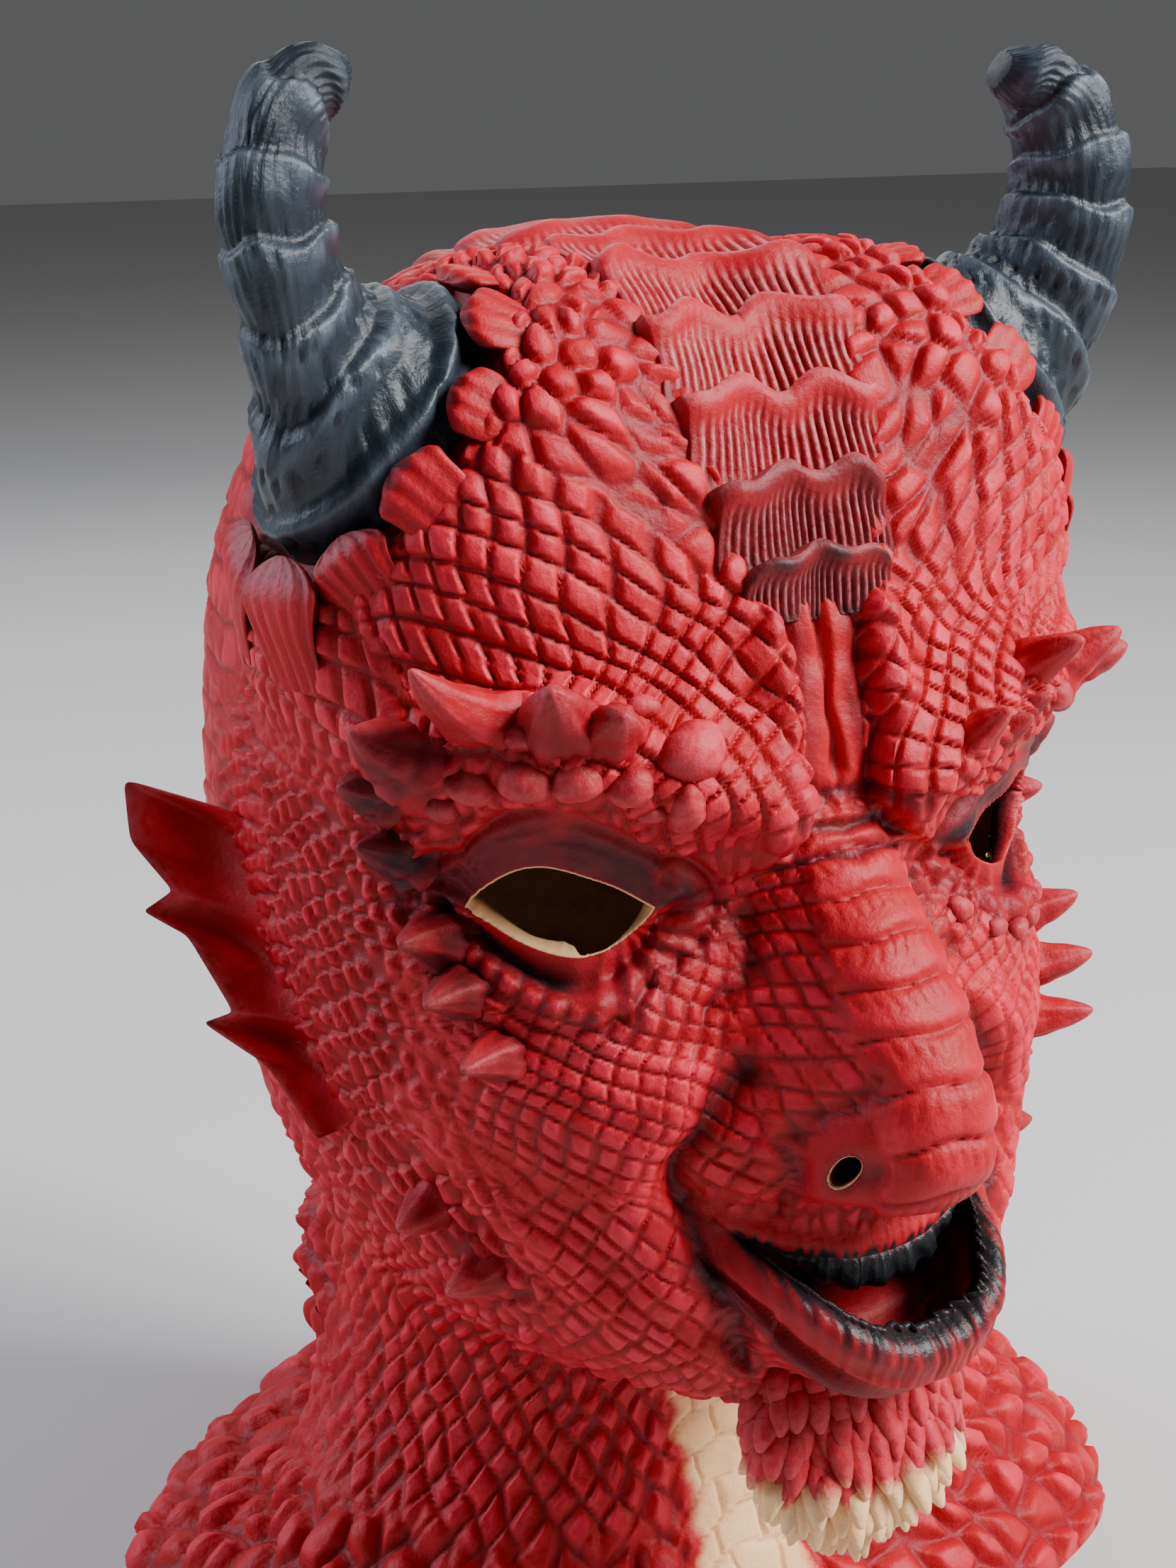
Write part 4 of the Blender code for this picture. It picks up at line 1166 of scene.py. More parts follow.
@dataclass
class Skin:
    """The mask's skin in five pieces that share their edges, its openings' rims and its lining."""

    head: Head
    detail: SkinDetail
    face_turn: float = 80.0
    face_columns: int = 412
    back_columns: int = 170
    crowding: float = 0.2
    stretches: tuple = ((70, 1.2), (150, 1.0), (204, 0.62), (214, 0.35), (285, 0.62), (345, 0.68),
                        (440, 1.0), (449, 1.8))
    splits: tuple = (150, 285)
    # The lining's columns in front and behind, and each stretch of its rows with their number
    lining_columns: tuple = (100, 44)
    lining_rows: tuple = ((25, 150, 32), (152, 290, 64), (294, 446, 32))

    def columns(self, coarse: float) -> tuple[Array, int]:
        """Angles round the head, closest together at the nose: a straight line plus a cube.

        Args:
            coarse: how many times wider the steps are.
        Returns:
            The angles, and how many of them belong to the face.
        """
        t = np.linspace(-1, 1, round(self.face_columns / coarse) // 2 * 2 + 1)
        face = self.face_turn * ((1 - self.crowding) * t + self.crowding * t ** 3)
        back = np.linspace(self.face_turn, 360 - self.face_turn, round(self.back_columns / coarse) + 1)
        return np.radians(np.concatenate([face, back[1:-1]])), len(face)

    def rows(self, coarse: float) -> Array:
        """Running numbers from the rim to the crown, with a set step in each stretch.

        Args:
            coarse: how many times wider the steps are.
        Returns:
            The running numbers.
        """
        made, start = [self.head.rim_level], self.head.rim_level
        for end, step in self.stretches:
            count = max(1, round((end - start) / (step * coarse)))
            made += list(np.linspace(start, end, count + 1)[1:])
            start = end
        return np.array(made)

    def build(self, finish: bpy.types.Material, coarse: float) -> None:
        """Work out the whole skin at once, cut its openings and share it out between its pieces.

        Args:
            finish: the painted latex.
            coarse: how many times wider the grid's steps are.
        """
        columns, face_count = self.columns(coarse)
        rows = self.rows(coarse)
        theta, row = np.meshgrid(columns, rows)
        run = self.head.run_from(theta, row)
        points, smooth_normals, relief = self.detail(theta, run)
        normals = grid_normals(points, True)
        keep = self.cut(points)
        rims = Piece("opening_edges", "mask_skin", "painted_latex")
        for opening in OPENINGS:
            rims.add(self.rim(opening, points, smooth_normals, relief, keep))
        low, high = (int(np.searchsorted(rows, level)) for level in self.splits)
        last = face_count - 1
        front, back = np.arange(0, last + 1), np.r_[np.arange(last, len(columns)), 0]
        shares = (("neck_and_bib", slice(0, low + 1), np.r_[np.arange(len(columns)), 0]),
                  ("face", slice(low, high + 1), front), ("forehead", slice(high, None), front),
                  ("head_back", slice(low, high + 1), back), ("crown_back", slice(high, None), back))
        for name, levels, around in shares:
            piece = Piece(name, "mask_skin", "painted_latex")
            chosen = np.ix_(np.arange(len(rows))[levels], around)
            faces = np.ix_(np.arange(len(rows))[levels][:-1], around[:-1])
            piece.add(Patch(points[chosen], {k: v[chosen] for k, v in relief.paint.items()},
                            keep=keep[faces], normals=normals[chosen]))
            piece.build(finish)
        cap = Piece("crown_cap", "mask_skin", "painted_latex")
        cap.add(Patch(points[-2:], {k: v[-2:] for k, v in relief.paint.items()}, wrap=True,
                      close_end=True))
        cap.build(finish)
        rims.build(finish)
        self.lining(points[0], columns, finish, coarse)

    def cut(self, points: Array) -> Array:
        """Which faces stay: those whose middle is outside every opening.

        Args:
            points: the skin's grid.
        Returns:
            True for each face that stays.
        """
        middle = face_middles(points)
        keep = np.ones(middle.shape[:2], bool)
        for opening in OPENINGS:
            keep &= opening.outside(middle) > 0
        return keep

    def rim(self, opening: Opening, points: Array, normals: Array, relief: Relief,
            keep: Array) -> Patch:
        """Draw the skin's edge onto the opening's outline and turn it in through the wall.

        Args:
            opening: the hole.
            points: the skin's grid, whose edge points are moved onto the outline.
            normals: the smooth head's outward directions.
            relief: the skin's heights, which the wall's depth follows.
            keep: the faces that stay.
        Returns:
            The strip from the skin's edge through the wall, as a closed ring.
        """
        inside = opening.outside(face_middles(points)) <= 0
        touched = np.zeros((2, *points.shape[:2]), bool)
        for layer, faces in enumerate((inside, keep)):
            for dr in (0, 1):
                for dc in (0, 1):
                    touched[layer, dr:dr + faces.shape[0]] |= np.roll(faces, dc, axis=1)
        r, c = np.nonzero(touched[0] & touched[1])
        edge, inward, turn = opening.snap(points[r, c])
        points[r, c] = edge
        order = np.argsort(turn)
        edge, inward, turn = edge[order], inward[order], turn[order]
        out = unit(normals[r, c][order])
        inward = unit(inward - out * np.sum(inward * out, -1, keepdims=True))
        thick = WALL + np.clip(relief.height[r, c][order], -1.0, 5.0)
        if isinstance(opening, Mouth):
            return self.mouth_edge(edge, out, inward, turn)
        return self.cut_edge(opening, edge, out, inward, thick, turn)

    def cut_edge(self, opening: Opening, edge: Array, out: Array, inward: Array, thick: Array,
                 turn: Array) -> Patch:
        """The bare latex of a cut edge: a rounded lip, the wall's thickness, and a turn behind it,
        painted black as shade unless the lid is folded.

        Inside an eye hole's lower lid the wall is folded up: from the outer corner to the bottom
        the strip leans into the hole and shows as a wide wedge.

        Args:
            opening: the hole.
            edge: points round its edge.
            out: outward directions at them.
            inward: directions into the hole.
            thick: the wall's thickness.
            turn: each point's turn round the hole.
        Returns:
            The strip, from inside the mask to the edge.
        """
        is_eye = isinstance(opening, EyeHole)
        lip = 1.0 if is_eye else 0.45
        folded = is_eye and opening.side is Side.RIGHT
        wedge = np.interp(turn, (-2.0, -1.8, -1.5, -0.9, -0.4, -0.05), (0, 0.75, 0.85, 0.42, 0.2, 0))
        wedge = wedge[:, None] * folded
        # Steps outward and into the hole, each for the plain edge and then for the wedge
        outs = ((0.0, 0.0), (0.22, 0.3), (0.1, -0.8), (-0.35, -2.2), (-0.5, -3.8), (-1.0, -5.5),
                (-1.05, -7.5))
        ins = ((0.0, 0.0), (0.25, 0.4), (0.55, 1.7), (0.75, 3.6), (0.9, 5.0), (0.6, 5.4), (-4.5, 2.0))
        rows = []
        for (o, wide_o), (i, wide_i) in zip(outs, ins):
            depth = o * (thick[:, None] if o <= -0.35 else 1.0)
            rows.append(edge + out * (depth + (wide_o - depth) * wedge)
                        + inward * (i * lip + (wide_i - i * lip) * wedge))
        tone = (0.6, 0.8, 0.9, 0.85, 0.85, 0.7, 0.3)
        bare = ((0.0, 0.75, 1.0, 1.0, 1.0, 0.9, 0.8) if folded
                else (0.0, 0.25, 0.3, 0.0, 0.0, 0.0, 0.0) if is_eye
                else (0.0, 0.6, 0.8, 0.2, 0.0, 0.0, 0.0))
        # Painted shade: the rows that turn behind the wall, into the mask, are painted black.
        painted_shade_inside = (0.0,) * 7 if folded else (0.0, 0.0, 0.1, 0.6, 0.8, 0.85, 0.85)
        paint = {name: np.array(column[::-1])[:, None]
                 for name, column in (("relief", tone), ("cream", bare), ("black", painted_shade_inside))}
        return Patch(np.stack(rows)[::-1], paint, wrap=True)

    def mouth_edge(self, edge: Array, out: Array, inward: Array, turn: Array) -> Patch:
        """The lips turned in: black and creased, with a lumpy gum band above and red behind.

        Args:
            edge: points round the slot's edge.
            out: outward directions at them.
            inward: directions into the slot.
            turn: each point's turn round the slot.
        Returns:
            The strip, from inside the mask to the edge.
        """
        above = fade(np.sin(turn), 0.0, 0.35)[:, None]
        share = np.clip(np.abs(edge[:, :1]) / MOUTH.half_width, 0, 1)
        room = np.clip((1 - share ** 2.2) ** 0.75, 0.06, 1)
        lumps = 0.5 + 0.5 * np.cos(edge[:, :1] * 0.95 + 1.5)
        creases = 0.2 * np.sin(edge[:, :1] * 2.3 + 2.6 * np.sin(edge[:, :1] / 2.7))
        # Outward and into the hole, for the lower lip and then the upper, and how black
        steps = ((0.0, 0.0, 0.0, 0.0, 0.9), (0.7, 0.5, 0.4, 1.0, 1.0), (0.6, 1.5, -0.1, 3.0, 1.0),
                 (-0.8, 2.3, -0.5, 5.4, 1.0), (-3.0, 2.8, -1.8, 7.0, 1.0), (-6.0, 2.8, -5.0, 7.2, 0.6),
                 (-11.0, 3.4, -11.0, 6.0, 0.1), (-18.0, 4.2, -18.0, 5.0, 0.5))
        rows = []
        for number, (out_low, in_low, out_high, in_high, _) in enumerate(steps):
            bulge = (2 <= number <= 5) * above * (lumps * 1.3 - 0.5)
            wave = (1 <= number <= 3) * creases
            reach = out_low + (out_high - out_low) * above
            rows.append(edge + out * (reach + wave + bulge)
                        + inward * ((in_low + (in_high - in_low) * above) * room + bulge * 0.5))
        paint = {"relief": np.array([0.3, 0.45, 0.5, 0.5, 0.6, 0.8, 0.8, 0.6])[:, None],
                 "black": np.array([step[-1] for step in steps[::-1]])[:, None]}
        return Patch(np.stack(rows)[::-1], paint, wrap=True)

    def inner_face(self, theta: Array, row: Array) -> Array:
        """The skin's inner face: one wall in, and deeper behind creases and round the openings.

        Args:
            theta: turn round the head in radians.
            row: grid rows.
        Returns:
            The points.
        """
        run = self.head.run_from(theta, row)
        skin = self.head.skin(theta, run)
        place = Place(theta, run, skin)
        sunk = sum(fold.strength(place.u, place.v) * max(-fold.rise - 0.6, 0) for fold in FOLDS)
        sunk = sunk + sum(2.2 * hill(opening.outside(skin), 6.5, 3.5) for opening in OPENINGS)
        inward = self.head.normal(self.head.skin, theta, run)
        return skin - inward * (WALL + sunk * (place.turn < 100))[..., None]

    def lining(self, rim: Array, columns: Array, finish: bpy.types.Material, coarse: float) -> None:
        """The inner face, one wall in from the smooth head, and the cut edge of the rim: bare latex,
        painted black as shade round the mouth and down the neck.

        Args:
            rim: the skin's lowest row of points.
            columns: their angles.
            finish: the painted latex.
            coarse: how many times wider the grid's steps are.
        """
        front_count, back_count = (round(count / coarse) for count in self.lining_columns)
        face = np.linspace(-self.face_turn, self.face_turn, front_count)
        back = np.linspace(self.face_turn, 360 - self.face_turn, back_count)
        levels = np.concatenate([np.linspace(*stretch) for stretch in self.lining_rows])
        theta, row = np.meshgrid(np.radians(np.concatenate([face, back[1:-1]])), levels)
        points = self.inner_face(theta, row)
        around = np.concatenate([points, points[:, :1]], 1)
        middle = (around[:-1, :-1] + around[1:, 1:]) / 2
        keep = np.ones(middle.shape[:2], bool)
        for opening in OPENINGS:
            ahead = middle + opening.side.flip(opening.axes()[2]) * WALL
            keep &= opening.outside(ahead) > (5.0 if isinstance(opening, Mouth) else 2.5)
        piece = Piece("lining", "mask_skin", "painted_latex")
        # Painted shade: round the mouth and down the neck, where it shows through the mouth, the lining
        # is painted black in place of cream.
        dark_paint_and_shade = np.maximum(1 - fade(MOUTH.outside(points), 14, 26), 0.85 * between(row, 40, 158, 12))
        paint = {"relief": 0.5 + 0.2 * ripple(theta * 60, row, 22.0), "cream": 1 - dark_paint_and_shade,
                 "black": 0.8 * dark_paint_and_shade}
        piece.add(Patch(points, paint, wrap=True, close_end=True, keep=keep, inside_out=True))
        inner_rim = self.inner_face(columns, np.full(len(columns), self.head.rim_level))
        strip = rim + (inner_rim - rim) * np.array([0.0, 0.15, 0.5, 0.85, 1.0])[:, None, None]
        piece.add(Patch(strip[::-1], {"relief": 0.6, "cream": 0.9}, wrap=True))
        piece.build(finish)


@dataclass(frozen=True)
class Crest:
    """Broad ribbed plates from the forehead over the crown and down the nape."""

    head: Head
    plates: int = 20
    rise: float = 6.2
    ribs: float = 11.0
    # Plate number and width
    widths: tuple = ((0, 37), (1, 44), (2, 50), (3, 53), (5, 57), (9, 55), (14, 46), (19, 38))

    def surface(self) -> tuple[Array, Array]:
        """The skin along the crest and 1 mm steps beside it, with its outward directions.

        The crown is laid out flat, with its top in the middle: a place q along and p aside has
        theta = atan2(p, q) and lies hypot(p, q) below the top. The rows are then read at whole
        millimetres across.

        Returns:
            The distance travelled along the middle, and each row's points and directions.
        """
        top = self.head.top
        q = np.r_[np.linspace(top - 322, 4, 70), np.linspace(-4, 122 - top, 110)][:, None]
        p = np.linspace(0, 1, 61) * (50 + 0.35 * np.abs(q))
        squeeze = 1 - fade(np.abs(q), 80, 150)
        points = self.head.skin(np.arctan2(p, q), top - np.sqrt(q * q + squeeze * p * p))
        points[:, 0, 0] = 0
        across = np.arange(36.0)
        table = np.stack([np.stack([np.interp(across, row[:, 0], row[:, k]) for k in range(3)], -1)
                          for row in points])
        normals = unit(np.cross(np.gradient(table, axis=1), np.gradient(table, axis=0)))
        normals[:, 0, 0] = 0
        steps = np.linalg.norm(np.diff(table[:, 0], axis=0), axis=1)
        return np.concatenate([[0], np.cumsum(steps)]), np.concatenate([table, unit(normals)], -1)

    def on_skin(self, travelled: Array, table: Array, place: Array, aside: Array) -> tuple[Array, Array]:
        """Read the table at places along and across, between its four nearest entries.

        Args:
            travelled: the distance along the middle of each row.
            table: each row's points and directions.
            place: distances along the middle.
            aside: distances across, below 0 on the right.
        Returns:
            The skin's points and its outward directions.
        """
        i = np.clip(np.interp(place, travelled, np.arange(len(travelled))), 0, len(travelled) - 1.001)
        j = np.clip(np.abs(aside), 0, 34.9)
        i0, j0 = i.astype(int), j.astype(int)
        share_i, share_j = (i - i0)[..., None], (j - j0)[..., None]
        low = table[i0, j0] * (1 - share_j) + table[i0, j0 + 1] * share_j
        high = table[i0 + 1, j0] * (1 - share_j) + table[i0 + 1, j0 + 1] * share_j
        value = low * (1 - share_i) + high * share_i
        return value[..., :3] * mirror(aside), value[..., 3:] * mirror(aside)

    def build(self, finish: bpy.types.Material) -> None:
        """Each plate lies on the skin, climbs to a thick lobed upper edge and is ribbed lengthwise.

        Its height is a rising line along it, plus a roll at the upper edge, plus ribs that are a
        power of a sine of the place across, deepest in the lower two thirds of the plate.

        Args:
            finish: the painted latex.
        """
        travelled, table = self.surface()
        ends = travelled[-1] * np.linspace(0, 1, self.plates + 1) ** 1.2
        piece = Piece("crest_plates", "mask_skin", "painted_latex")
        along = np.array([*np.linspace(-0.15, 0.92, 12), 0.96, 0.99, 1.0, 1.0])[:, None]
        for number in range(self.plates):
            across = np.linspace(-1, 1, 133 if number < 9 else 61)
            start, end = ends[number], ends[number + 1]
            width = np.interp(number, *np.array(self.widths, float).T)
            crooked = 0.07 * math.sin(2.4 * number + 0.6)
            lobes = (0.30 * (1 - np.abs(across) ** 2.2) + 0.10 * np.cos(across * 7.5 + 1.3 * number)
                     + crooked * across) * (1 - across ** 8)
            length = min(end - start, 24.0)
            place = end - length * (1 - along) + length * (lobes - 0.12) * fade(along, -0.1, 1.0)
            sideways = width / 2 * across * (1 + 0.03 * np.sin(5 * along + number))
            phase = (math.pi * self.ribs * across + 0.3 * np.sin(3 * along + number + 3 * across)
                     + 0.8 * np.sin(across * 6 + number))
            rib = np.abs(np.sin(phase)) ** 0.8
            deep = (fade(along, -0.05, 0.1) * (1 - fade(along, 0.56, 0.74))
                    * (1 - fade(np.abs(across), 0.88, 0.97)))
            roll = hill(along, 0.86, 0.15) * (1 + 0.25 * np.sin(across * 8 + 2 * number))
            plain = 1 - 0.6 * fade(number, 4.0, 8.0)
            lift = (0.9 + self.rise * 0.72 * np.clip(along, 0, 1) ** 1.1 * (0.35 + 0.65 * plain)
                    + 2.3 * roll * plain + 1.3 * plain * (rib - 1) * deep)
            lift = lift * (1 - 0.5 * np.abs(across) ** 9)
            lift = np.where(np.arange(len(along))[:, None] == len(along) - 1, -2.5, lift)
            lift = np.where(np.abs(across) > 0.999, -2.8, lift)
            skin, up = self.on_skin(travelled, table, place, sideways * np.ones_like(place))
            shown = skin + up * lift[..., None]
            low = 1 - fade(number, 0.4, 2.2)
            top = fade(along, 0.55, 0.9)
            # Rib tops and the upper edge are lighter: worn paint and painted highlight
            worn_and_highlight = np.clip(0.9 * rib ** 5 * deep + 0.4 * hill(along, 0.97, 0.05), 0, 1)
            # Darker between the ribs and at the low end, under the next plate's raised edge: painted
            # shade. The lowest plates are dark paint.
            paint = {"relief": np.clip(0.55 * top + (0.02 + 0.62 * rib) * deep + 0.2 * roll, 0, 1),
                     "worn_and_highlight": worn_and_highlight * (0.4 + 0.6 * plain),
                     "wash_and_shade": (0.1 + 0.2 * (1 - rib) * deep + low * (0.45 + 0.35 * roll)
                              + 0.4 * hill(along, 0.0, 0.12))}
            piece.add(Patch(shown, paint))
        piece.build(finish)


@dataclass(frozen=True)
class Petals:
    """The scalloped scales round each horn's foot."""

    seat: HornSeat
    count: int = 10
    sides: int = 44
    clearance: float = 1.0
    height: float = 9.0

    def build(self, side: Side, finish: bpy.types.Material) -> None:
        """Each petal is a flat finger: ovals along a line that climbs from the skin to the horn.

        The ovals' half width swells along it and ends as a part of a circle, the line's level is
        a smooth step of the place along it, and the ribs on its back are a sine of the place across.

        Args:
            side: the mask's left or right.
            finish: the painted latex.
        """
        tip_u, tip_v = self.seat.radii(self.clearance)
        turn = full_turn(self.sides)
        t = np.r_[np.linspace(0, 0.8, 12), np.sin(np.linspace(0.97, 1.53, 8))][:, None]
        nose = np.sqrt(np.clip(1 - (np.clip(t - 0.66, 0, 1) / 0.342) ** 2, 0.003, 1))
        piece = Piece(f"petals_{side.name.lower()}", "mask_skin", "painted_latex")
        for number in range(self.count):
            angle = math.radians(78 + 300 * number / (self.count - 1))
            luck = chance(31.0, number, side.value)
            lower = fade(math.cos(angle), -0.2, 0.8)
            down = fade(math.cos(angle), 0.78, 0.95)
            rim = np.array([tip_u * math.cos(angle), tip_v * math.sin(angle)])
            out = unit(np.array([math.cos(angle) / tip_u, math.sin(angle) / tip_v]))
            beside = np.array([-out[1], out[0]])
            half = (5.6 + 2.2 * fade(t, 0, 0.65)) * nose * (0.9 + 0.2 * luck + 0.3 * lower + 0.25 * down)
            thick = (3.2 + 0.8 * luck - 0.9 * lower) * (0.7 + 0.3 * t) * nose ** 0.8
            aside = half * np.cos(turn) * (1 + 0.05 * np.sin(t * 9 + number))
            ribs = np.sin(np.cos(turn) * (11 + 6 * lower) + 1.2 * np.sin(t * 3 + number))
            back = np.clip(np.sin(turn), 0, 1)
            reach = (9.5 + 4 * lower + 9 * down) * (1 - t) + 0.8
            flat = rim + (reach * np.ones_like(turn))[..., None] * out + aside[..., None] * beside
            outside = np.maximum(0, np.hypot(flat[..., 0] / tip_u, flat[..., 1] / tip_v) - 1)
            rise = self.height * (0.75 + 0.4 * luck)
            level = (-5.0 + (rise + 5.0 - thick) * fade(t, -0.15, 0.7) - 12 * outside ** 2
                     + thick * np.sin(turn) + (0.42 + 0.3 * lower) * ribs * back ** 0.5 * nose)
            points = self.seat.point(flat[..., 0], flat[..., 1], level)
            # The back is lighter and the underside darker, most towards the tip: painted light and shade
            high = fade(t, 0.2, 0.8) * back
            worn_and_highlight = hill(t, 0.92, 0.1 + 0.12 * lower) * (0.3 + 0.4 * luck + 0.3 * lower) * back
            paint = {"relief": np.clip(0.15 + 0.3 * back + 0.3 * high + 0.4 * ribs * back, 0, 1),
                     "worn_and_highlight": worn_and_highlight,
                     "wash_and_shade": np.clip(0.45 * worn_and_highlight + 0.5 * (1 - back) * fade(t, 0.5, 1.0), 0, 1)}
            piece.add(Patch(side.flip(points), paint, wrap=True, close_start=True, close_end=True,
                            inside_out=side is Side.LEFT))
        piece.build(finish)


@dataclass(frozen=True)
class Horn:
    """A ribbed horn of black rubber on its seat."""

    seat: HornSeat
    length: float = 98.0
    gap: float = 0.3
    ribs: int = 7
    sides: int = 120
    stations: int = 170
    long_way_above: tuple = (0.7, -0.7, 0.0)
    line: tuple = (
        (0.0, 0.0, 0.0), (0.105, -0.035, 0.11), (0.19, -0.075, 0.235), (0.24, -0.095, 0.36),
        (0.26, -0.092, 0.49), (0.235, -0.072, 0.615), (0.165, -0.045, 0.705), (0.08, -0.03, 0.735),
    )
    girth: tuple = (
        (0, 1.0, 1.0), (0.09, 0.96, 0.94), (0.2, 0.76, 0.68), (0.33, 0.59, 0.48), (0.48, 0.49, 0.40),
        (0.64, 0.44, 0.38), (0.8, 0.37, 0.34), (0.93, 0.29, 0.28), (1.0, 0.16, 0.15),
    )

    def build(self, side: Side, finish: bpy.types.Material) -> None:
        """Ovals along a bent line, stepped by slanted wavy ribs and cut by fine grooves.

        The swelling of a rib is the square of the share f of it climbed, so each ends in a sharp
        lip; the rib's place is shifted by waves round the horn. The fine grooves are powers of
        sines round the horn that fade in and out along it.

        Args:
            side: the mask's left or right.
            finish: the horn's rubber.
        """
        line = np.array(self.line) * self.length
        travelled = np.concatenate([[0], np.cumsum(np.linalg.norm(np.diff(line, axis=0), axis=1))])
        path = SmoothTable(tuple(np.column_stack([travelled / travelled[-1], line])))
        share = np.r_[0.0, np.linspace(0.004, 0.985, self.stations), 0.994, 0.999]
        place = np.stack(path(share), -1)
        ahead = (np.stack(path(np.minimum(share + 0.02, 1)), -1)
                 - np.stack(path(np.maximum(share - 0.02, 0)), -1))
        long_way, _, facing = self.seat.axes()
        turned = fade(share, 0.0, 0.45)[:, None]
        axis = unit(facing * (1 - turned) + unit(ahead) * turned)
        wish = long_way * (1 - turned) + np.array(self.long_way_above) * turned
        first = unit(wish - axis * np.sum(wish * axis, -1, keepdims=True))
        second = np.cross(axis, first)
        girth_a, girth_b = SmoothTable(self.girth)(share)
        angle = full_turn(self.sides)
        s, a = share[:, None], angle[None, :]
        wave = (0.010 * np.sin(3 * a + 9 * s) + 0.006 * np.sin(5 * a - 14 * s + 1.0)
                + 0.02 * np.cos(a + 0.8))
        climbed = (s + wave * fade(s, 0.03, 0.12)) * self.ribs
        rib = climbed - np.floor(climbed)
        lip = np.where(rib < 0.88, fade(rib, -0.1, 0.88) ** 1.3, 1 - fade(rib, 0.88, 1.0) * 0.95)
        body = fade(s, 0.04, 0.14) * (1 - 0.5 * fade(s, 0.85, 1.0))
        luck = 0.7 + 0.5 * chance(41.0, np.floor(climbed), side.value)
        swell = 1 + (0.15 * lip * luck - 0.045) * body
        cuts = (np.maximum(0, np.sin(a * 25 + 2.2 * np.sin(s * 23 + 2 * a))) ** 2
                * np.maximum(0, np.sin(s * 61 + 5 * a + 2 * np.sin(7 * a))))
        grooves = (np.sin(a * 27 + 2.4 * np.sin(s * 19 + 3 * a))
                   * (0.35 + 0.65 * np.abs(ripple(a * 14, s * 120, 13.0, 7.0))))
        lumps = ripple(a * 12, s * 90, 17.0, 3.0)
        fine = 0.3 * grooves * fade(s, 0.02, 0.1) + 1.3 * cuts * (1 - fade(s, 0.3, 0.55)) - 0.6 * lumps
        radius_a = self.seat.foot_length / 2 * girth_a[:, None] * swell - fine
        radius_b = self.seat.foot_width / 2 * girth_b[:, None] * swell - fine
        ends = fade(s, 0.05, 0.2) * (1 - fade(s, 0.85, 1.0))
        slant = 0.16 * self.seat.foot_length / 2 * girth_a[:, None] * ends * np.cos(a + 0.8)
        start = np.array(self.seat.middle) + facing * self.gap
        points = (start + place[:, None] + (np.cos(a) * radius_a)[..., None] * first[:, None]
                  + (np.sin(a) * radius_b)[..., None] * second[:, None]
                  + slant[..., None] * axis[:, None])
        points[0] = start + (points[0] - start) - facing * ((points[0] - start) @ facing)[:, None]
        along = np.linalg.norm(place - place[0], axis=-1)
        grain = np.stack(np.broadcast_arrays(np.cos(a), np.sin(a), s), -1)
        # Lighter rib lips: worn paint and painted highlight
        worn_and_highlight = np.clip(lip ** 3 * body, 0, 1) * (0.5 + 0.5 * ripple(a * 20, along[:, None], 11.0, 2.0))
        paint = {"relief": np.clip(0.55 + 0.3 * grooves + 0.4 * lip * body - 0.6 * cuts, 0, 1),
                 "worn_and_highlight": np.clip(worn_and_highlight, 0, 1), "grain": grain}
        piece = Piece(f"horn_{side.name.lower()}_ribbed", f"horn_{side.name.lower()}", "black_horn")
        piece.add(Patch(side.flip(points), paint, wrap=True, close_start=True, close_end=True,
                        inside_out=side is Side.RIGHT))
        piece.build(finish)


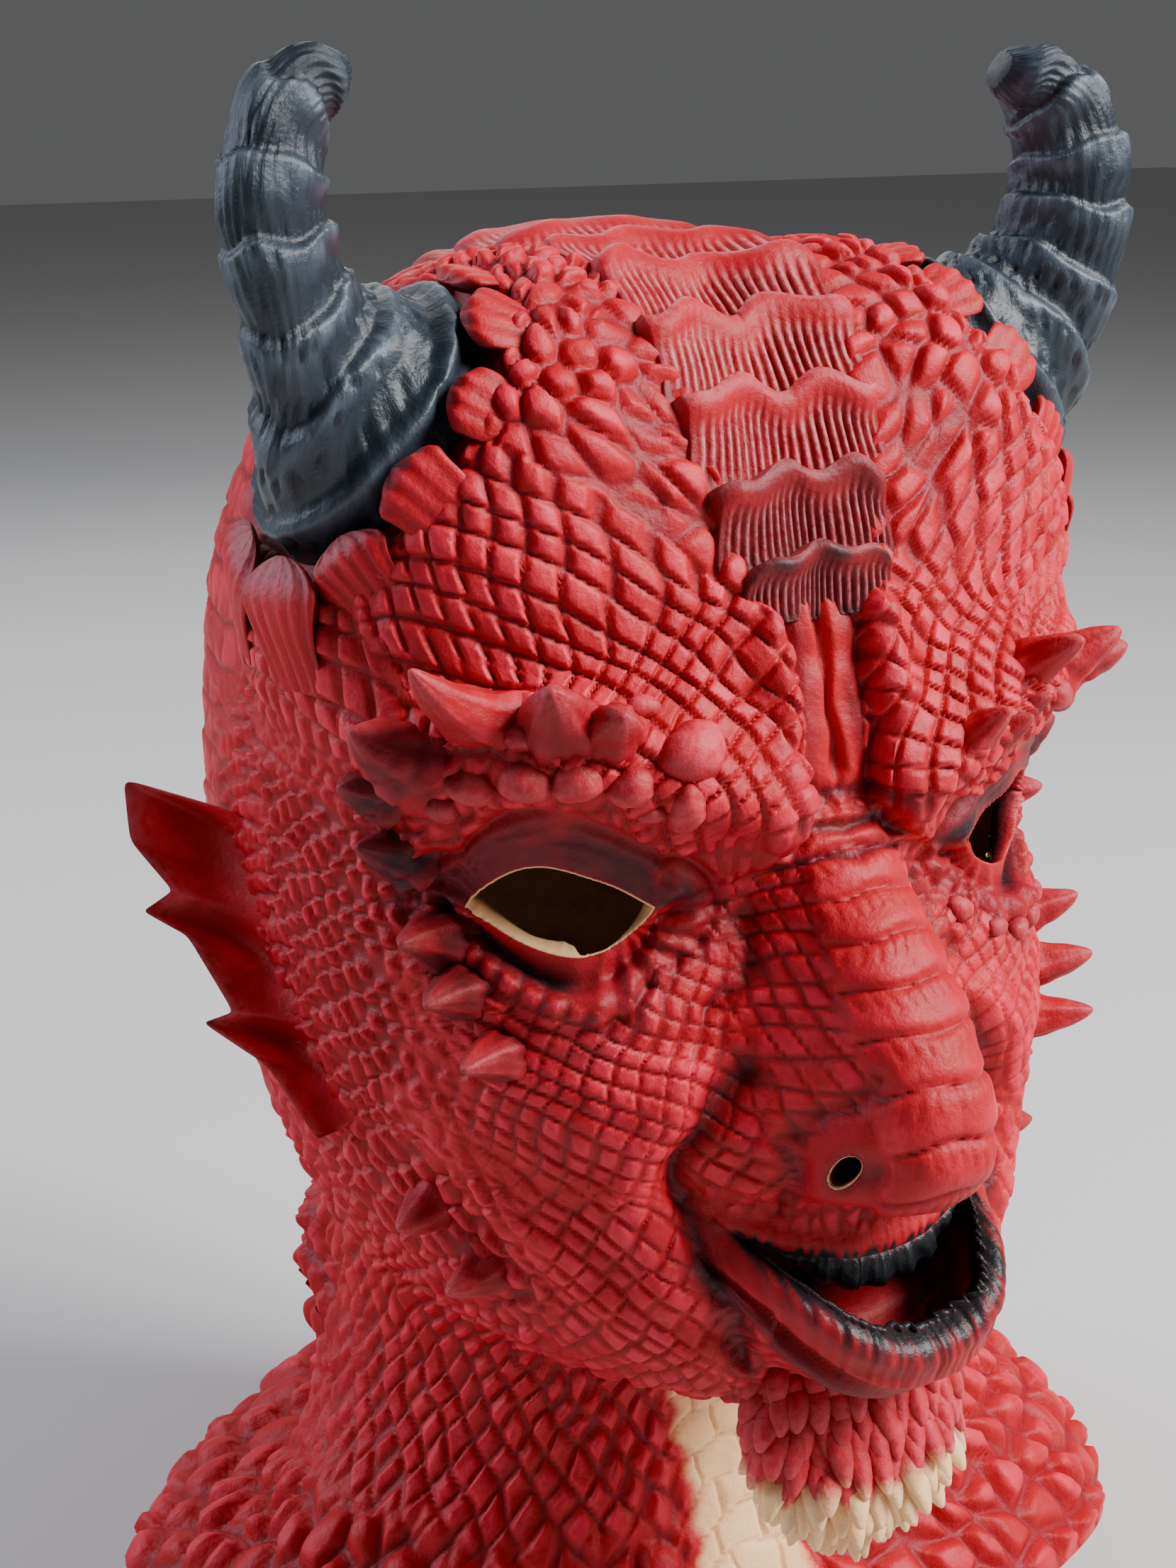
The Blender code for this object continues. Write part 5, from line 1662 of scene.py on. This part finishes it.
@dataclass(frozen=True)
class Spikes:
    """Horny spikes and beads of brow, temple, cheek and jaw."""

    head: Head
    # Angle, running number, tip, share of the way to it, radius at the root, sag, bluntness and wash
    spikes: tuple = (
        (60, 190, (89, -71, 191), 1.0, 8.0, 1.0, 0.22, 0.35),
        (54, 178, (82, -80, 178), 1.0, 8.0, 1.0, 0.22, 0.35),
        (57, 287, (98, -64, 292), 0.8, 9.0, 0.5, 0.2, 0.85),
        (55, 273, (97, -66, 280), 0.75, 8.6, 0.5, 0.2, 0.9),
    )
    near_spikes: tuple = (
        (42, 308, (93, -91, 322), 0.95, 8.2, 2.0, 0.26, 0.12),
        (35, 305.5, (70, -106, 318), 1.0, 10.0, 0.0, 0.26, 0.4),
        (30.5, 304, (57, -112, 313), 0.95, 8.6, -0.5, 0.28, 0.35),
        (51, 298, (99, -76, 307), 0.95, 10.5, 1.0, 0.2, 0.6),
        (51, 254, (96, -84, 264), 0.72, 8.4, -1.2, 0.22, 0.75),
        (48, 244, (92, -87, 250), 0.72, 8.0, -1.2, 0.22, 0.7),
        (44, 232, (89, -97, 239), 0.72, 7.6, -1.2, 0.24, 0.55),
    )
    far_spikes: tuple = (
        (30.5, 304, (57, -113, 313), 1.0, 7.6, -0.5, 0.28, 0.1),
        (38, 300, (78, -103, 311), 0.95, 8.2, 0.0, 0.26, 0.15),
        (45, 297, (91, -92, 303), 0.95, 8.6, 1.0, 0.26, 0.3),
        (18, 293, (34, -118, 303), 0.9, 6.4, 0.0, 0.24, 0.1),
        (23.5, 289, (44, -114, 299), 0.9, 6.2, 0.0, 0.24, 0.45),
        (28, 293, (53, -110, 302), 0.8, 5.2, 0.0, 0.24, 0.6),
        (52, 230, (92, -82, 238), 0.9, 7.8, 0.5, 0.26, 0.3),
        (48, 221, (88, -93, 227), 0.9, 7.6, 0.5, 0.26, 0.2),
        (44, 212, (81, -102, 217), 0.9, 7.2, 0.5, 0.26, 0.1),
        (53, 262, (86, -74, 264), 0.8, 6.0, 0.5, 0.3, 0.2),
    )
    # Angle, running number, radius, share of it upwards, and wash
    near_beads: tuple = (
        (44.2, 294, 5.3, 0.75, 0.3), (38.8, 295.5, 5.5, 0.8, 0.2), (34, 295.8, 5.3, 0.85, 0.15),
        (28.8, 294.5, 5.1, 0.8, 0.25), (23, 289.5, 4.4, 1.3, 0.15), (22, 300, 7.6, 0.82, 0.05),
        (26.5, 289, 3.2, 0.7, 0.3), (26.5, 308, 3.6, 0.8, 0.1), (48, 288, 4.0, 0.8, 0.5),
        (39, 303, 3.6, 0.8, 0.3),
    )
    far_beads: tuple = (
        (22, 250, 3.6, 0.9, 0.4), (27, 244, 3.2, 0.8, 0.5), (32, 241, 3.4, 0.8, 0.4),
        (37, 241, 3.6, 0.8, 0.4), (42.5, 243, 3.6, 0.8, 0.4), (46, 248, 3.2, 0.8, 0.4),
        (34, 296, 4.6, 0.85, 0.4), (39.5, 293, 4.6, 0.85, 0.4),
    )

    def root(self, degrees: float, run: float) -> tuple[Array, Array]:
        """The skin's point and outward direction at a place."""
        theta, at = np.array(math.radians(degrees)), np.array(float(run))
        return self.head.skin(theta, at), self.head.normal(self.head.skin, theta, at)

    def spike(self, side: Side, row: tuple) -> Patch:
        """Rings along a bowed line: a blunt cone whose radius ends as a part of a circle.

        Args:
            side: the mask's left or right.
            row: the spike's row of the table.
        Returns:
            The rings, closed at the tip.
        """
        degrees, run, tip, way, radius, sag, blunt, wash_and_shade = row
        root, normal = self.root(degrees, run)
        tip = root + (np.array(tip, float) - root) * way
        t = np.r_[np.linspace(0, 0.88, 20), 0.93, 0.965, 0.985, 0.997][:, None]
        angle = full_turn(30)
        axis = unit(tip - root)
        first = unit(np.cross(axis, [0.0, 0.0, 1.0]))
        second = np.cross(first, axis)
        foot = root - normal * 5.0
        centre = foot + (tip - foot) * t - second * sag * (4 * t * (1 - t))
        wander = degrees * 0.37 + run
        creases = 1 + 0.09 * np.sin(angle * 5 + 2.5 * t + wander) * (1 - 0.6 * t)
        creases = creases + 0.045 * np.sin(angle * 11 - 4 * t + wander)
        steps = 1 + 0.05 * np.sin(t * 21 + np.sin(angle * 2 + wander)) * (1 - t)
        cone = 1 + (blunt - 1) * t ** 1.15
        size = radius * cone * np.sqrt(1 - t ** 9) * creases * steps * (1 + 0.25 * np.exp(-t / 0.16))
        ring = np.cos(angle)[:, None] * first + np.sin(angle)[:, None] * second * 0.86
        points = centre[:, None] + size[..., None] * ring[None]
        # The tone follows the creases; the dark wash is deeper in their dips, as painted shade, and over
        # the lower half of the spike
        tone = np.clip(0.62 + 2.2 * (creases - 1) + 2.5 * (steps - 1), 0, 1)
        dark_paint_and_shade = wash_and_shade * (1 - 0.35 * fade(t, 0.5, 1.0)) * (1.35 - 0.6 * tone)
        paint = {"relief": tone, "wash_and_shade": dark_paint_and_shade, "worn_and_highlight": 0.22 * fade(t, 0.6, 1)}
        return Patch(side.flip(points), paint, wrap=True, close_end=True,
                     inside_out=side is Side.RIGHT)

    def bead(self, side: Side, row: tuple) -> Patch:
        """A half-sunk lump: rings of a quarter circle, a little uneven round.

        Args:
            side: the mask's left or right.
            row: the bead's row of the table.
        Returns:
            The rings, closed at the tip.
        """
        degrees, run, radius, tall, wash_and_shade = row
        root, normal = self.root(degrees, run)
        first = unit(np.cross(normal, [0.0, 0.0, 1.0]))
        second = np.cross(normal, first)
        turn = np.linspace(-0.75, 1.5, 16)[:, None]
        angle = full_turn(28)
        uneven = (1 + 0.09 * np.sin(2 * angle + degrees) + 0.06 * np.sin(3 * angle + run)
                  + 0.03 * np.sin(7 * angle))
        ring = np.cos(angle)[:, None] * first + np.sin(angle)[:, None] * second * tall
        points = (root + normal * (0.85 * radius * np.sin(turn)[..., None])
                  + (radius * np.cos(turn) ** 0.9 * uneven)[..., None] * ring)
        tone = 0.1 + 0.75 * fade(turn, -0.3, 0.9)
        paint = {"relief": tone, "wash_and_shade": wash_and_shade * (1.4 - tone), "worn_and_highlight": 0.2 * tone}
        return Patch(side.flip(points), paint, wrap=True, close_end=True,
                     inside_out=side is Side.RIGHT)

    def build(self, finish: bpy.types.Material) -> None:
        """All spikes and beads of both sides.

        Args:
            finish: the painted latex.
        """
        piece = Piece("spikes_and_beads", "mask_skin", "painted_latex")
        for side in Side:
            near = side is Side.RIGHT
            for row in self.spikes + (self.near_spikes if near else self.far_spikes):
                piece.add(self.spike(side, row))
            for row in self.near_beads if near else self.far_beads:
                piece.add(self.bead(side, row))
        piece.build(finish)


@dataclass(frozen=True)
class Ear:
    """A pointed, dished ear rooted down the side of the head."""

    head: Head
    thickness: float = 4.0
    root_line: tuple = ((86, 264), (80, 248), (75, 232), (71, 218), (70, 202))
    edge_line: tuple = (
        (98, -1, 268), (114, 20, 271.5), (115.5, 12, 259), (110, 2, 249), (116.5, 4, 244.5),
        (109, -5, 240), (105, -20, 226), (110.5, -16, 223), (101, -30, 216), (95, -43, 201),
    )

    def build(self, side: Side, finish: bpy.types.Material) -> None:
        """A loop from root to edge and back behind, carried down the root line.

        The loop is a line from root to edge that sinks in the middle by the product of the two
        shares, with folds that are sines down the ear, and a wall that thins to the edge.

        Args:
            side: the mask's left or right.
            finish: the painted latex.
        """
        edge = np.array(self.edge_line, float)
        at = np.linspace(0, 1, len(edge))
        down = np.linspace(0, 1, 121)
        share = np.linspace(0, 1, len(self.root_line))
        theta = np.radians(np.interp(down, share, [a for a, _ in self.root_line]))
        run = np.interp(down, share, [b for _, b in self.root_line])
        root = self.head.skin(theta, run) - self.head.normal(self.head.skin, theta, run) * 2.0
        sampled = np.stack([np.interp(down, at, edge[:, k]) for k in range(3)], -1)
        kernel = np.hanning(7)[1:-1]
        kernel = kernel / kernel.sum()
        padded = np.pad(sampled, ((2, 2), (0, 0)), mode="edge")
        sampled = np.stack([np.convolve(padded[:, k], kernel, mode="valid") for k in range(3)], -1)
        dish = unit(np.cross(edge[-1] - edge[0], edge[1] - root[0]))
        reach = np.linalg.norm(sampled - root, axis=1)
        across = np.linspace(0, 1, 17)
        r = np.r_[across, across[::-1]][None, :]
        face = np.repeat([-1.0, 1.0], len(across))[None, :]
        d = down[:, None]
        sink = reach[:, None] * 1.05 * r * (1 - r)
        folds = (1.1 * np.sin(2 * math.pi * 3.2 * d + 3.5 * r) * r * (1 - 0.5 * r)
                 + 0.3 * np.sin(2 * math.pi * 13 * d + 6 * r) * r * (1 - r))
        half = self.thickness / 2 * (1 - 0.62 * r ** 1.5)
        points = root[:, None] + (sampled - root)[:, None] * r[..., None]
        points = points + dish * (face * half - sink + folds)[..., None]
        tone = np.clip(0.85 + 0.4 * folds + 0.3 * r ** 2 - 0.3 * (r * (1 - r) * 4) * (face > 0), 0.35, 1)
        piece = Piece(f"ear_{side.name.lower()}", "mask_skin", "painted_latex")
        paint = {"relief": tone, "worn_and_highlight": 0.35 * fade(r, 0.8, 1.0)}
        piece.add(Patch(side.flip(points), paint, wrap=True, close_start=True, close_end=True,
                        inside_out=side is Side.LEFT))
        piece.build(finish)


@dataclass(frozen=True)
class Beard:
    """The tuft of pointed scales on the chin, red at its root and cream at its tips."""

    # Level, depth of the middle, half width and half depth of the core
    core: tuple = (
        (119, -119, 6, 4.0), (130, -119, 13.5, 7), (144, -118, 21.5, 9.5), (158, -115, 25, 9),
        (168, -110, 24, 8),
    )
    # Level of the roots, how many, length, half width and how far the tips lean out
    rows: tuple = (
        (124, 9, 11, 3.0, 4.5), (128, 12, 12, 3.1, 6.5), (132, 14, 12, 3.2, 7.5),
        (136, 15, 12, 3.2, 8.0), (140, 16, 11.5, 3.2, 8.0), (144, 17, 11, 3.1, 7.5),
        (148, 17, 10.5, 3.1, 7.0), (152, 18, 9.5, 3.0, 6.0), (156, 18, 9, 2.9, 5.0),
        (160, 18, 8, 2.8, 4.0), (164, 18, 7, 2.6, 3.0),
    )

    def surface(self, angle: Array, level: Array) -> tuple[Array, Array]:
        """The core's ovals, stacked by level.

        Args:
            angle: turn from the front.
            level: height.
        Returns:
            The points and their outward directions.
        """
        middle, half, deep = SmoothTable(self.core)(np.clip(level, 119, 168))
        out = unit(np.stack([np.sin(angle) / half, -np.cos(angle) / deep, np.zeros_like(angle)], -1))
        return np.stack([half * np.sin(angle), middle - deep * np.cos(angle), level], -1), out

    def scale(self, angle: float, row: tuple, seed: float) -> Patch:
        """A pointed scale: a leaf that leans out, with a keel and creases down its length.

        Its half width is a sine of the place t along it times a root of 1 - t^3, and it leans
        out by a power of t.

        Args:
            angle: its root's turn from the front.
            row: its row of the table.
            seed: makes its size and lean its own.
        Returns:
            The scale as a closed tube.
        """
        level, _, length, half, lean = row
        luck, more = (chance(seed + k, angle * 7, level) for k in (0, 9))
        root, out = self.surface(np.array(angle), np.array(level + 2.5 * (more - 0.5)))
        side_way = unit(np.cross([0.0, 0.0, 1.0], out))
        t = np.array([0.0, 0.2, 0.45, 0.68, 0.85, 0.95, 0.995])[:, None]
        turn = full_turn(8)
        size = length * (0.8 + 0.45 * luck)
        width = (half * (0.85 + 0.3 * more) * (0.75 + 0.25 * np.sin(math.pi * t))
                 * np.sqrt(1 - 0.97 * t ** 3))
        centre = (root + out * (-1.0 + lean * (0.75 + 0.5 * more) * t ** 0.9)[..., None] * np.ones(3)
                  + np.array([0, 0, -1.0]) * (size * t ** 1.15)[..., None]
                  + side_way * ((luck - 0.5) * 4.0 * t)[..., None])
        keel = 0.62 * width * (1 + 0.3 * np.abs(np.sin(turn * 2)) ** 2)
        points = (centre + side_way * (width * np.cos(turn))[..., None]
                  + (out + np.array([0, 0, 0.5])) * (keel * np.sin(turn))[..., None])
        tip_level = points[..., 2]
        cream = fade(-tip_level, -140 - 14 * (more - 0.5), -126 - 6 * (luck - 0.5)) * fade(t, -0.2, 0.5)
        # Each scale is lighter outwards and up and darker towards the core and down: painted light and
        # shade
        tone = np.clip(0.25 + 0.35 * np.sin(turn) + 0.2 * np.cos(turn * 4) * (1 - t) + 0.3 * t, 0, 1)
        return Patch(points, {"relief": tone, "cream": cream, "worn_and_highlight": 0.2 * t}, wrap=True,
                     close_start=True, close_end=True, inside_out=True)

    def build(self, finish: bpy.types.Material) -> None:
        """The core and its rows of scales, each row staggered against the last.

        Args:
            finish: the painted latex.
        """
        piece = Piece("beard", "mask_skin", "painted_latex")
        angle, level = np.meshgrid(full_turn(60), np.linspace(119, 168, 30))
        points, _ = self.surface(angle, level)
        piece.add(Patch(points, {"relief": 0.15, "cream": fade(-level, -128, -118)}, wrap=True,
                        close_start=True, close_end=True))
        for number, row in enumerate(self.rows):
            spread = np.linspace(-1.75, 1.75, row[1]) + (0.1 if number % 2 else -0.1)
            for place in spread:
                piece.add(self.scale(float(place), row, 51.0 + number))
        piece.build(finish)


def linear(hex_value: int) -> tuple[float, float, float, float]:
    """An sRGB colour written in hexadecimal, as linear values."""
    channels = [(hex_value >> shift & 255) / 255 for shift in (16, 8, 0)]
    return (*(c / 12.92 if c <= 0.04045 else ((c + 0.055) / 1.055) ** 2.4 for c in channels), 1.0)


class Shading:
    """A material's node tree, filled by one call for each node."""

    def __init__(self, name: str) -> None:
        """A new material with its Principled shader.

        Args:
            name: the material's name.
        """
        self.material = bpy.data.materials.new(name)
        self.material.use_nodes = True
        self.tree = self.material.node_tree
        self.shader = self.tree.nodes["Principled BSDF"]

    def node(self, kind: str, settings: dict | None = None, **inputs: object) -> bpy.types.Node:
        """Add a node of a kind.

        Args:
            kind: the node's type without its ShaderNode prefix.
            settings: the node's own properties.
            inputs: a value or an output socket for each input, named with _ for spaces or by
                its number after an i.
        Returns:
            The node.
        """
        made = self.tree.nodes.new("ShaderNode" + kind)
        for key, value in (settings or {}).items():
            setattr(made, key, value)
        self.feed(made, inputs)
        return made

    def feed(self, target: bpy.types.Node, inputs: dict) -> None:
        """Set or link inputs of a node.

        Args:
            target: the node.
            inputs: a value or an output socket for each input.
        """
        for key, value in inputs.items():
            numbered = key[0] == "i" and key[1:].isdigit()
            socket = target.inputs[int(key[1:]) if numbered else key.replace("_", " ")]
            if isinstance(value, bpy.types.NodeSocket):
                self.tree.links.new(value, socket)
            else:
                socket.default_value = value


@dataclass(frozen=True)
class PaintedLatex:
    """Cast latex brushed with flexible paint: red over dark crimson grooves, rubbed pale on top, partly
    as a painted highlight, and darkened with dark paint and painted shade.

    Latex paint gives a soft satin sheen, and thin latex lets a little red light through.
    """

    groove: int = 0x8C0416
    body: int = 0xB00618
    # Raised parts rubbed pale: dry-brushed paint and painted highlight
    top: int = 0xDE2840
    # Rubbed edges and rib tops: worn paint and painted highlight
    worn_and_highlight: int = 0xD68A92
    # Dark wash: dark paint round eyes, mouth and spikes, and painted shade in creases, hollows and
    # undersides
    wash_and_shade: int = 0x2C1216
    # Black paint of the lips, and painted shade inside the openings and on the lining behind the mouth
    black: int = 0x14171A
    raw: int = 0xF6C48E
    raw_groove: int = 0xB06E3C
    # Sizes in metres: patches left by the brush, mottling of the paint, and pores, which are
    # drawn coarser than the real ones of 0.1 mm, too fine to show
    blotch: float = 0.011
    mottle: float = 0.0022
    pore: float = 0.0006

    def make(self) -> bpy.types.Material:
        """Lay the colours over each other by the painted attributes, broken up by noise.

        Each share is a smooth step of the relief or the noise, times a painted attribute.

        Returns:
            The finish.
        """
        m = Shading("painted_latex_finish")
        place = m.node("TexCoord").outputs["Object"]
        paint = {name: m.node("Attribute", {"attribute_name": name}).outputs["Fac"] for name in PAINTS}
        blotch, mottle, pores = (
            m.node("TexNoise", Vector=place, Scale=1 / size, Detail=detail,
                   Roughness=rough).outputs["Fac"]
            for size, detail, rough in ((self.blotch, 3.0, 0.6), (self.mottle, 3.0, 0.65),
                                        (self.pore, 2.0, 0.5)))
        spread, edge = (m.node("MapRange", Value=mottle, To_Min=-reach, To_Max=reach).outputs["Result"]
                        for reach in (0.175, 0.15))
        uneven = m.node("Math", {"use_clamp": True}, i0=paint["relief"], i1=spread).outputs[0]
        creamy = m.node("Math", i0=paint["cream"], i1=edge).outputs[0]
        # Where each smooth step begins and ends, and how high it climbs
        climbs = {"red": (uneven, 0.0, 0.38, 1.0), "high": (uneven, 0.5, 1.0, 1.0),
                  "dabbed": (blotch, 0.32, 0.62, 0.85), "scuffed": (mottle, 0.25, 0.7, 1.0),
                  "wash_patches": (blotch, 0.1, 0.55, 1.0), "clean": (uneven, 0.1, 0.55, 1.0),
                  "bare": (creamy, 0.25, 0.75, 1.0)}
        step = {name: m.node("MapRange", {"interpolation_type": "SMOOTHSTEP"}, Value=value,
                             From_Min=low, From_Max=high, To_Max=top).outputs["Result"]
                for name, (value, low, high, top) in climbs.items()}
        # Shares of the painted highlight with rubbed paint, of worn paint with painted highlight, and of
        # dark paint with painted shade
        rubbed_and_highlight, worn_and_highlight, wash_and_shade_share = (
            m.node("Math", {"operation": "MULTIPLY"}, i0=a, i1=b).outputs[0]
            for a, b in ((step["high"], step["dabbed"]), (paint["worn_and_highlight"], step["scuffed"]),
                         (paint["wash_and_shade"], step["wash_patches"])))
        raw = m.node("Mix", {"data_type": "RGBA"}, i0=step["clean"], i6=linear(self.raw_groove),
                     i7=linear(self.raw)).outputs[2]
        colour = linear(self.groove)
        for share, over in ((step["red"], linear(self.body)), (rubbed_and_highlight, linear(self.top)),
                            (worn_and_highlight, linear(self.worn_and_highlight)), (wash_and_shade_share, linear(self.wash_and_shade)),
                            (step["bare"], raw), (paint["black"], linear(self.black))):
            colour = m.node("Mix", {"data_type": "RGBA"}, i0=share, i6=colour, i7=over).outputs[2]
        rough = m.node("MapRange", Value=mottle, To_Min=0.46, To_Max=0.66).outputs["Result"]
        rough = m.node("Math", {"operation": "MULTIPLY_ADD"}, i0=paint["black"], i1=-0.14,
                       i2=rough).outputs[0]
        bump = m.node("Bump", Strength=0.6, Distance=0.0006, Height=mottle).outputs["Normal"]
        bump = m.node("Bump", Strength=0.25, Distance=0.0001, Height=pores, Normal=bump).outputs["Normal"]
        m.feed(m.shader, {"Base Color": colour, "Roughness": rough, "IOR": 1.5, "Normal": bump,
                          "Subsurface Weight": 0.10, "Subsurface Radius": (1.0, 0.2, 0.1),
                          "Subsurface Scale": 0.003, "Specular IOR Level": 0.3})
        return m.material


@dataclass(frozen=True)
class HornRubber:
    """Cast rubber painted charcoal black: cool and half glossy, with painted sheen in streaks and silvery
    rubbed rib edges that are partly a painted highlight.
    """

    deep: int = 0x10161C
    body: int = 0x1E262E
    # Painted sheen, laid in streaks along the horn
    painted_sheen: int = 0x2C3742
    # Rubbed rib edges: worn paint and painted highlight
    rubbed_silver_and_highlight: int = 0x6C7884
    # Streaks to a turn of the horn, and the sizes in metres of dull patches and of the rubber's
    # grain, drawn coarser than the real one
    streak: float = 17.0
    patch: float = 0.008
    pit: float = 0.0009

    def make(self) -> bpy.types.Material:
        """Painted sheen in streaks along the horn from noise squeezed round it, and rib edges lighter
        where they are rubbed, partly as a painted highlight.

        Returns:
            The finish.
        """
        m = Shading("horn_rubber_finish")
        grain = m.node("Attribute", {"attribute_name": "grain"}).outputs["Vector"]
        relief, worn_and_highlight = (m.node("Attribute", {"attribute_name": name}).outputs["Fac"]
                        for name in ("relief", "worn_and_highlight"))
        place = m.node("TexCoord").outputs["Object"]
        streaks = m.node("TexNoise", Vector=grain, Scale=self.streak, Detail=6.0,
                         Roughness=0.7).outputs["Fac"]
        blotch, fine = (m.node("TexNoise", Vector=place, Scale=1 / size, Detail=detail).outputs["Fac"]
                        for size, detail in ((self.patch, 3.0), (self.pit, 2.0)))
        lit, rubbed_and_highlight = (m.node("Math", {"operation": "MULTIPLY", "use_clamp": True}, i0=streaks,
                              i1=other).outputs[0] for other in (blotch, worn_and_highlight))
        colour = linear(self.deep)
        for share, over in ((relief, self.body), (lit, self.painted_sheen), (rubbed_and_highlight, self.rubbed_silver_and_highlight)):
            colour = m.node("Mix", {"data_type": "RGBA"}, i0=share, i6=colour,
                            i7=linear(over)).outputs[2]
        rough = m.node("MapRange", Value=blotch, To_Min=0.28, To_Max=0.48).outputs["Result"]
        bump = m.node("Bump", Strength=0.45, Distance=0.0006, Height=streaks).outputs["Normal"]
        bump = m.node("Bump", Strength=0.5, Distance=0.0003, Height=fine, Normal=bump).outputs["Normal"]
        m.feed(m.shader, {"Base Color": colour, "Roughness": rough, "IOR": 1.52,
                          "Specular IOR Level": 0.38, "Normal": bump})
        return m.material


@dataclass(frozen=True)
class PaperSweep:
    """Matt pale paper under the mask: no shine, one even tone."""

    tone: int = 0xC9C8C6

    def make(self) -> bpy.types.Material:
        """A plain rough surface.

        Returns:
            The finish.
        """
        m = Shading("paper_sweep")
        m.feed(m.shader, {"Base Color": linear(self.tone), "Roughness": 0.9, "IOR": 1.45})
        return m.material


@dataclass(frozen=True)
class Studio:
    """A pale floor, soft lights and the camera at the photograph's viewing angle."""

    azimuth: float = -30.0
    elevation: float = 18.0
    distance: float = 0.55
    target: tuple = (-0.010, 0.0239, 0.237)
    lens: float = 50.13
    shift: tuple = (-0.0016, -0.0118)
    # Name, place, size in metres, watts and tint
    lamps: tuple = (
        ("window", (0.85, -0.80, 1.22), 0.7, 58.0, 0xFFFFFF),
        ("rim_light", (0.35, 1.1, 1.0), 0.8, 6.0, 0xFFFFFF),
        ("near_fill", (-1.2, 0.9, 0.9), 0.9, 25.0, 0xE4ECFF),
    )

    def floor(self) -> None:
        """A flat square under the rim."""
        mesh = bpy.data.meshes.new("floor")
        mesh.from_pydata([(-6, -6, 0), (6, -6, 0), (6, 6, 0), (-6, 6, 0)], [], [(0, 1, 2, 3)])
        mesh.materials.append(PaperSweep().make())
        made = bpy.data.objects.new("floor", mesh)
        bpy.context.scene.collection.objects.link(made)

    def camera(self) -> None:
        """The camera on a line from the target, turned by azimuth and raised by elevation."""
        a, e = math.radians(self.azimuth), math.radians(self.elevation)
        back = Vector((math.sin(a) * math.cos(e), -math.cos(a) * math.cos(e), math.sin(e)))
        lens = bpy.data.cameras.new("camera")
        lens.lens, lens.sensor_width, lens.sensor_fit = self.lens, 36.0, "AUTO"
        lens.shift_x, lens.shift_y = self.shift
        lens.clip_start = 0.02
        made = bpy.data.objects.new("camera", lens)
        made.location = Vector(self.target) + back * self.distance
        made.rotation_mode = "QUATERNION"
        made.rotation_quaternion = back.to_track_quat("Z", "Y")
        bpy.context.scene.collection.objects.link(made)
        bpy.context.scene.camera = made

    def light(self, name: str, place: tuple, size: float, power: float, tint: int) -> None:
        """A square soft light aimed at the mask's middle.

        Args:
            name: the lamp's name.
            place: where it stands.
            size: its side in metres.
            power: its power in watts.
            tint: its sRGB colour.
        """
        lamp = bpy.data.lights.new(name, "AREA")
        lamp.size, lamp.energy, lamp.color = size, power, linear(tint)[:3]
        made = bpy.data.objects.new(name, lamp)
        made.location = place
        aim = Vector(place) - Vector(self.target)
        made.rotation_mode = "QUATERNION"
        made.rotation_quaternion = aim.to_track_quat("Z", "Y")
        bpy.context.scene.collection.objects.link(made)

    def build(self) -> None:
        """Floor, camera, lights and a pale even surround."""
        self.floor()
        self.camera()
        for lamp in self.lamps:
            self.light(*lamp)
        world = bpy.data.worlds.new("studio")
        world.use_nodes = True
        surround = world.node_tree.nodes["Background"]
        surround.inputs["Color"].default_value = linear(0xE9EAEC)
        surround.inputs["Strength"].default_value = 0.13
        bpy.context.scene.world = world


def main() -> None:
    """Build every piece of the mask and the studio round it."""
    logging.basicConfig(level=logging.INFO, format="%(name)s: %(message)s")
    latex, horn_rubber = PaintedLatex().make(), HornRubber().make()
    head = Head()
    coarse = 1.0
    Skin(head, SkinDetail(head)).build(latex, coarse)
    Crest(head).build(latex)
    Spikes(head).build(latex)
    Beard().build(latex)
    for side in Side:
        Petals(head.seat).build(side, latex)
        Horn(head.seat).build(side, horn_rubber)
        Ear(head).build(side, latex)
    Studio().build()


if __name__ == "__main__":
    main()
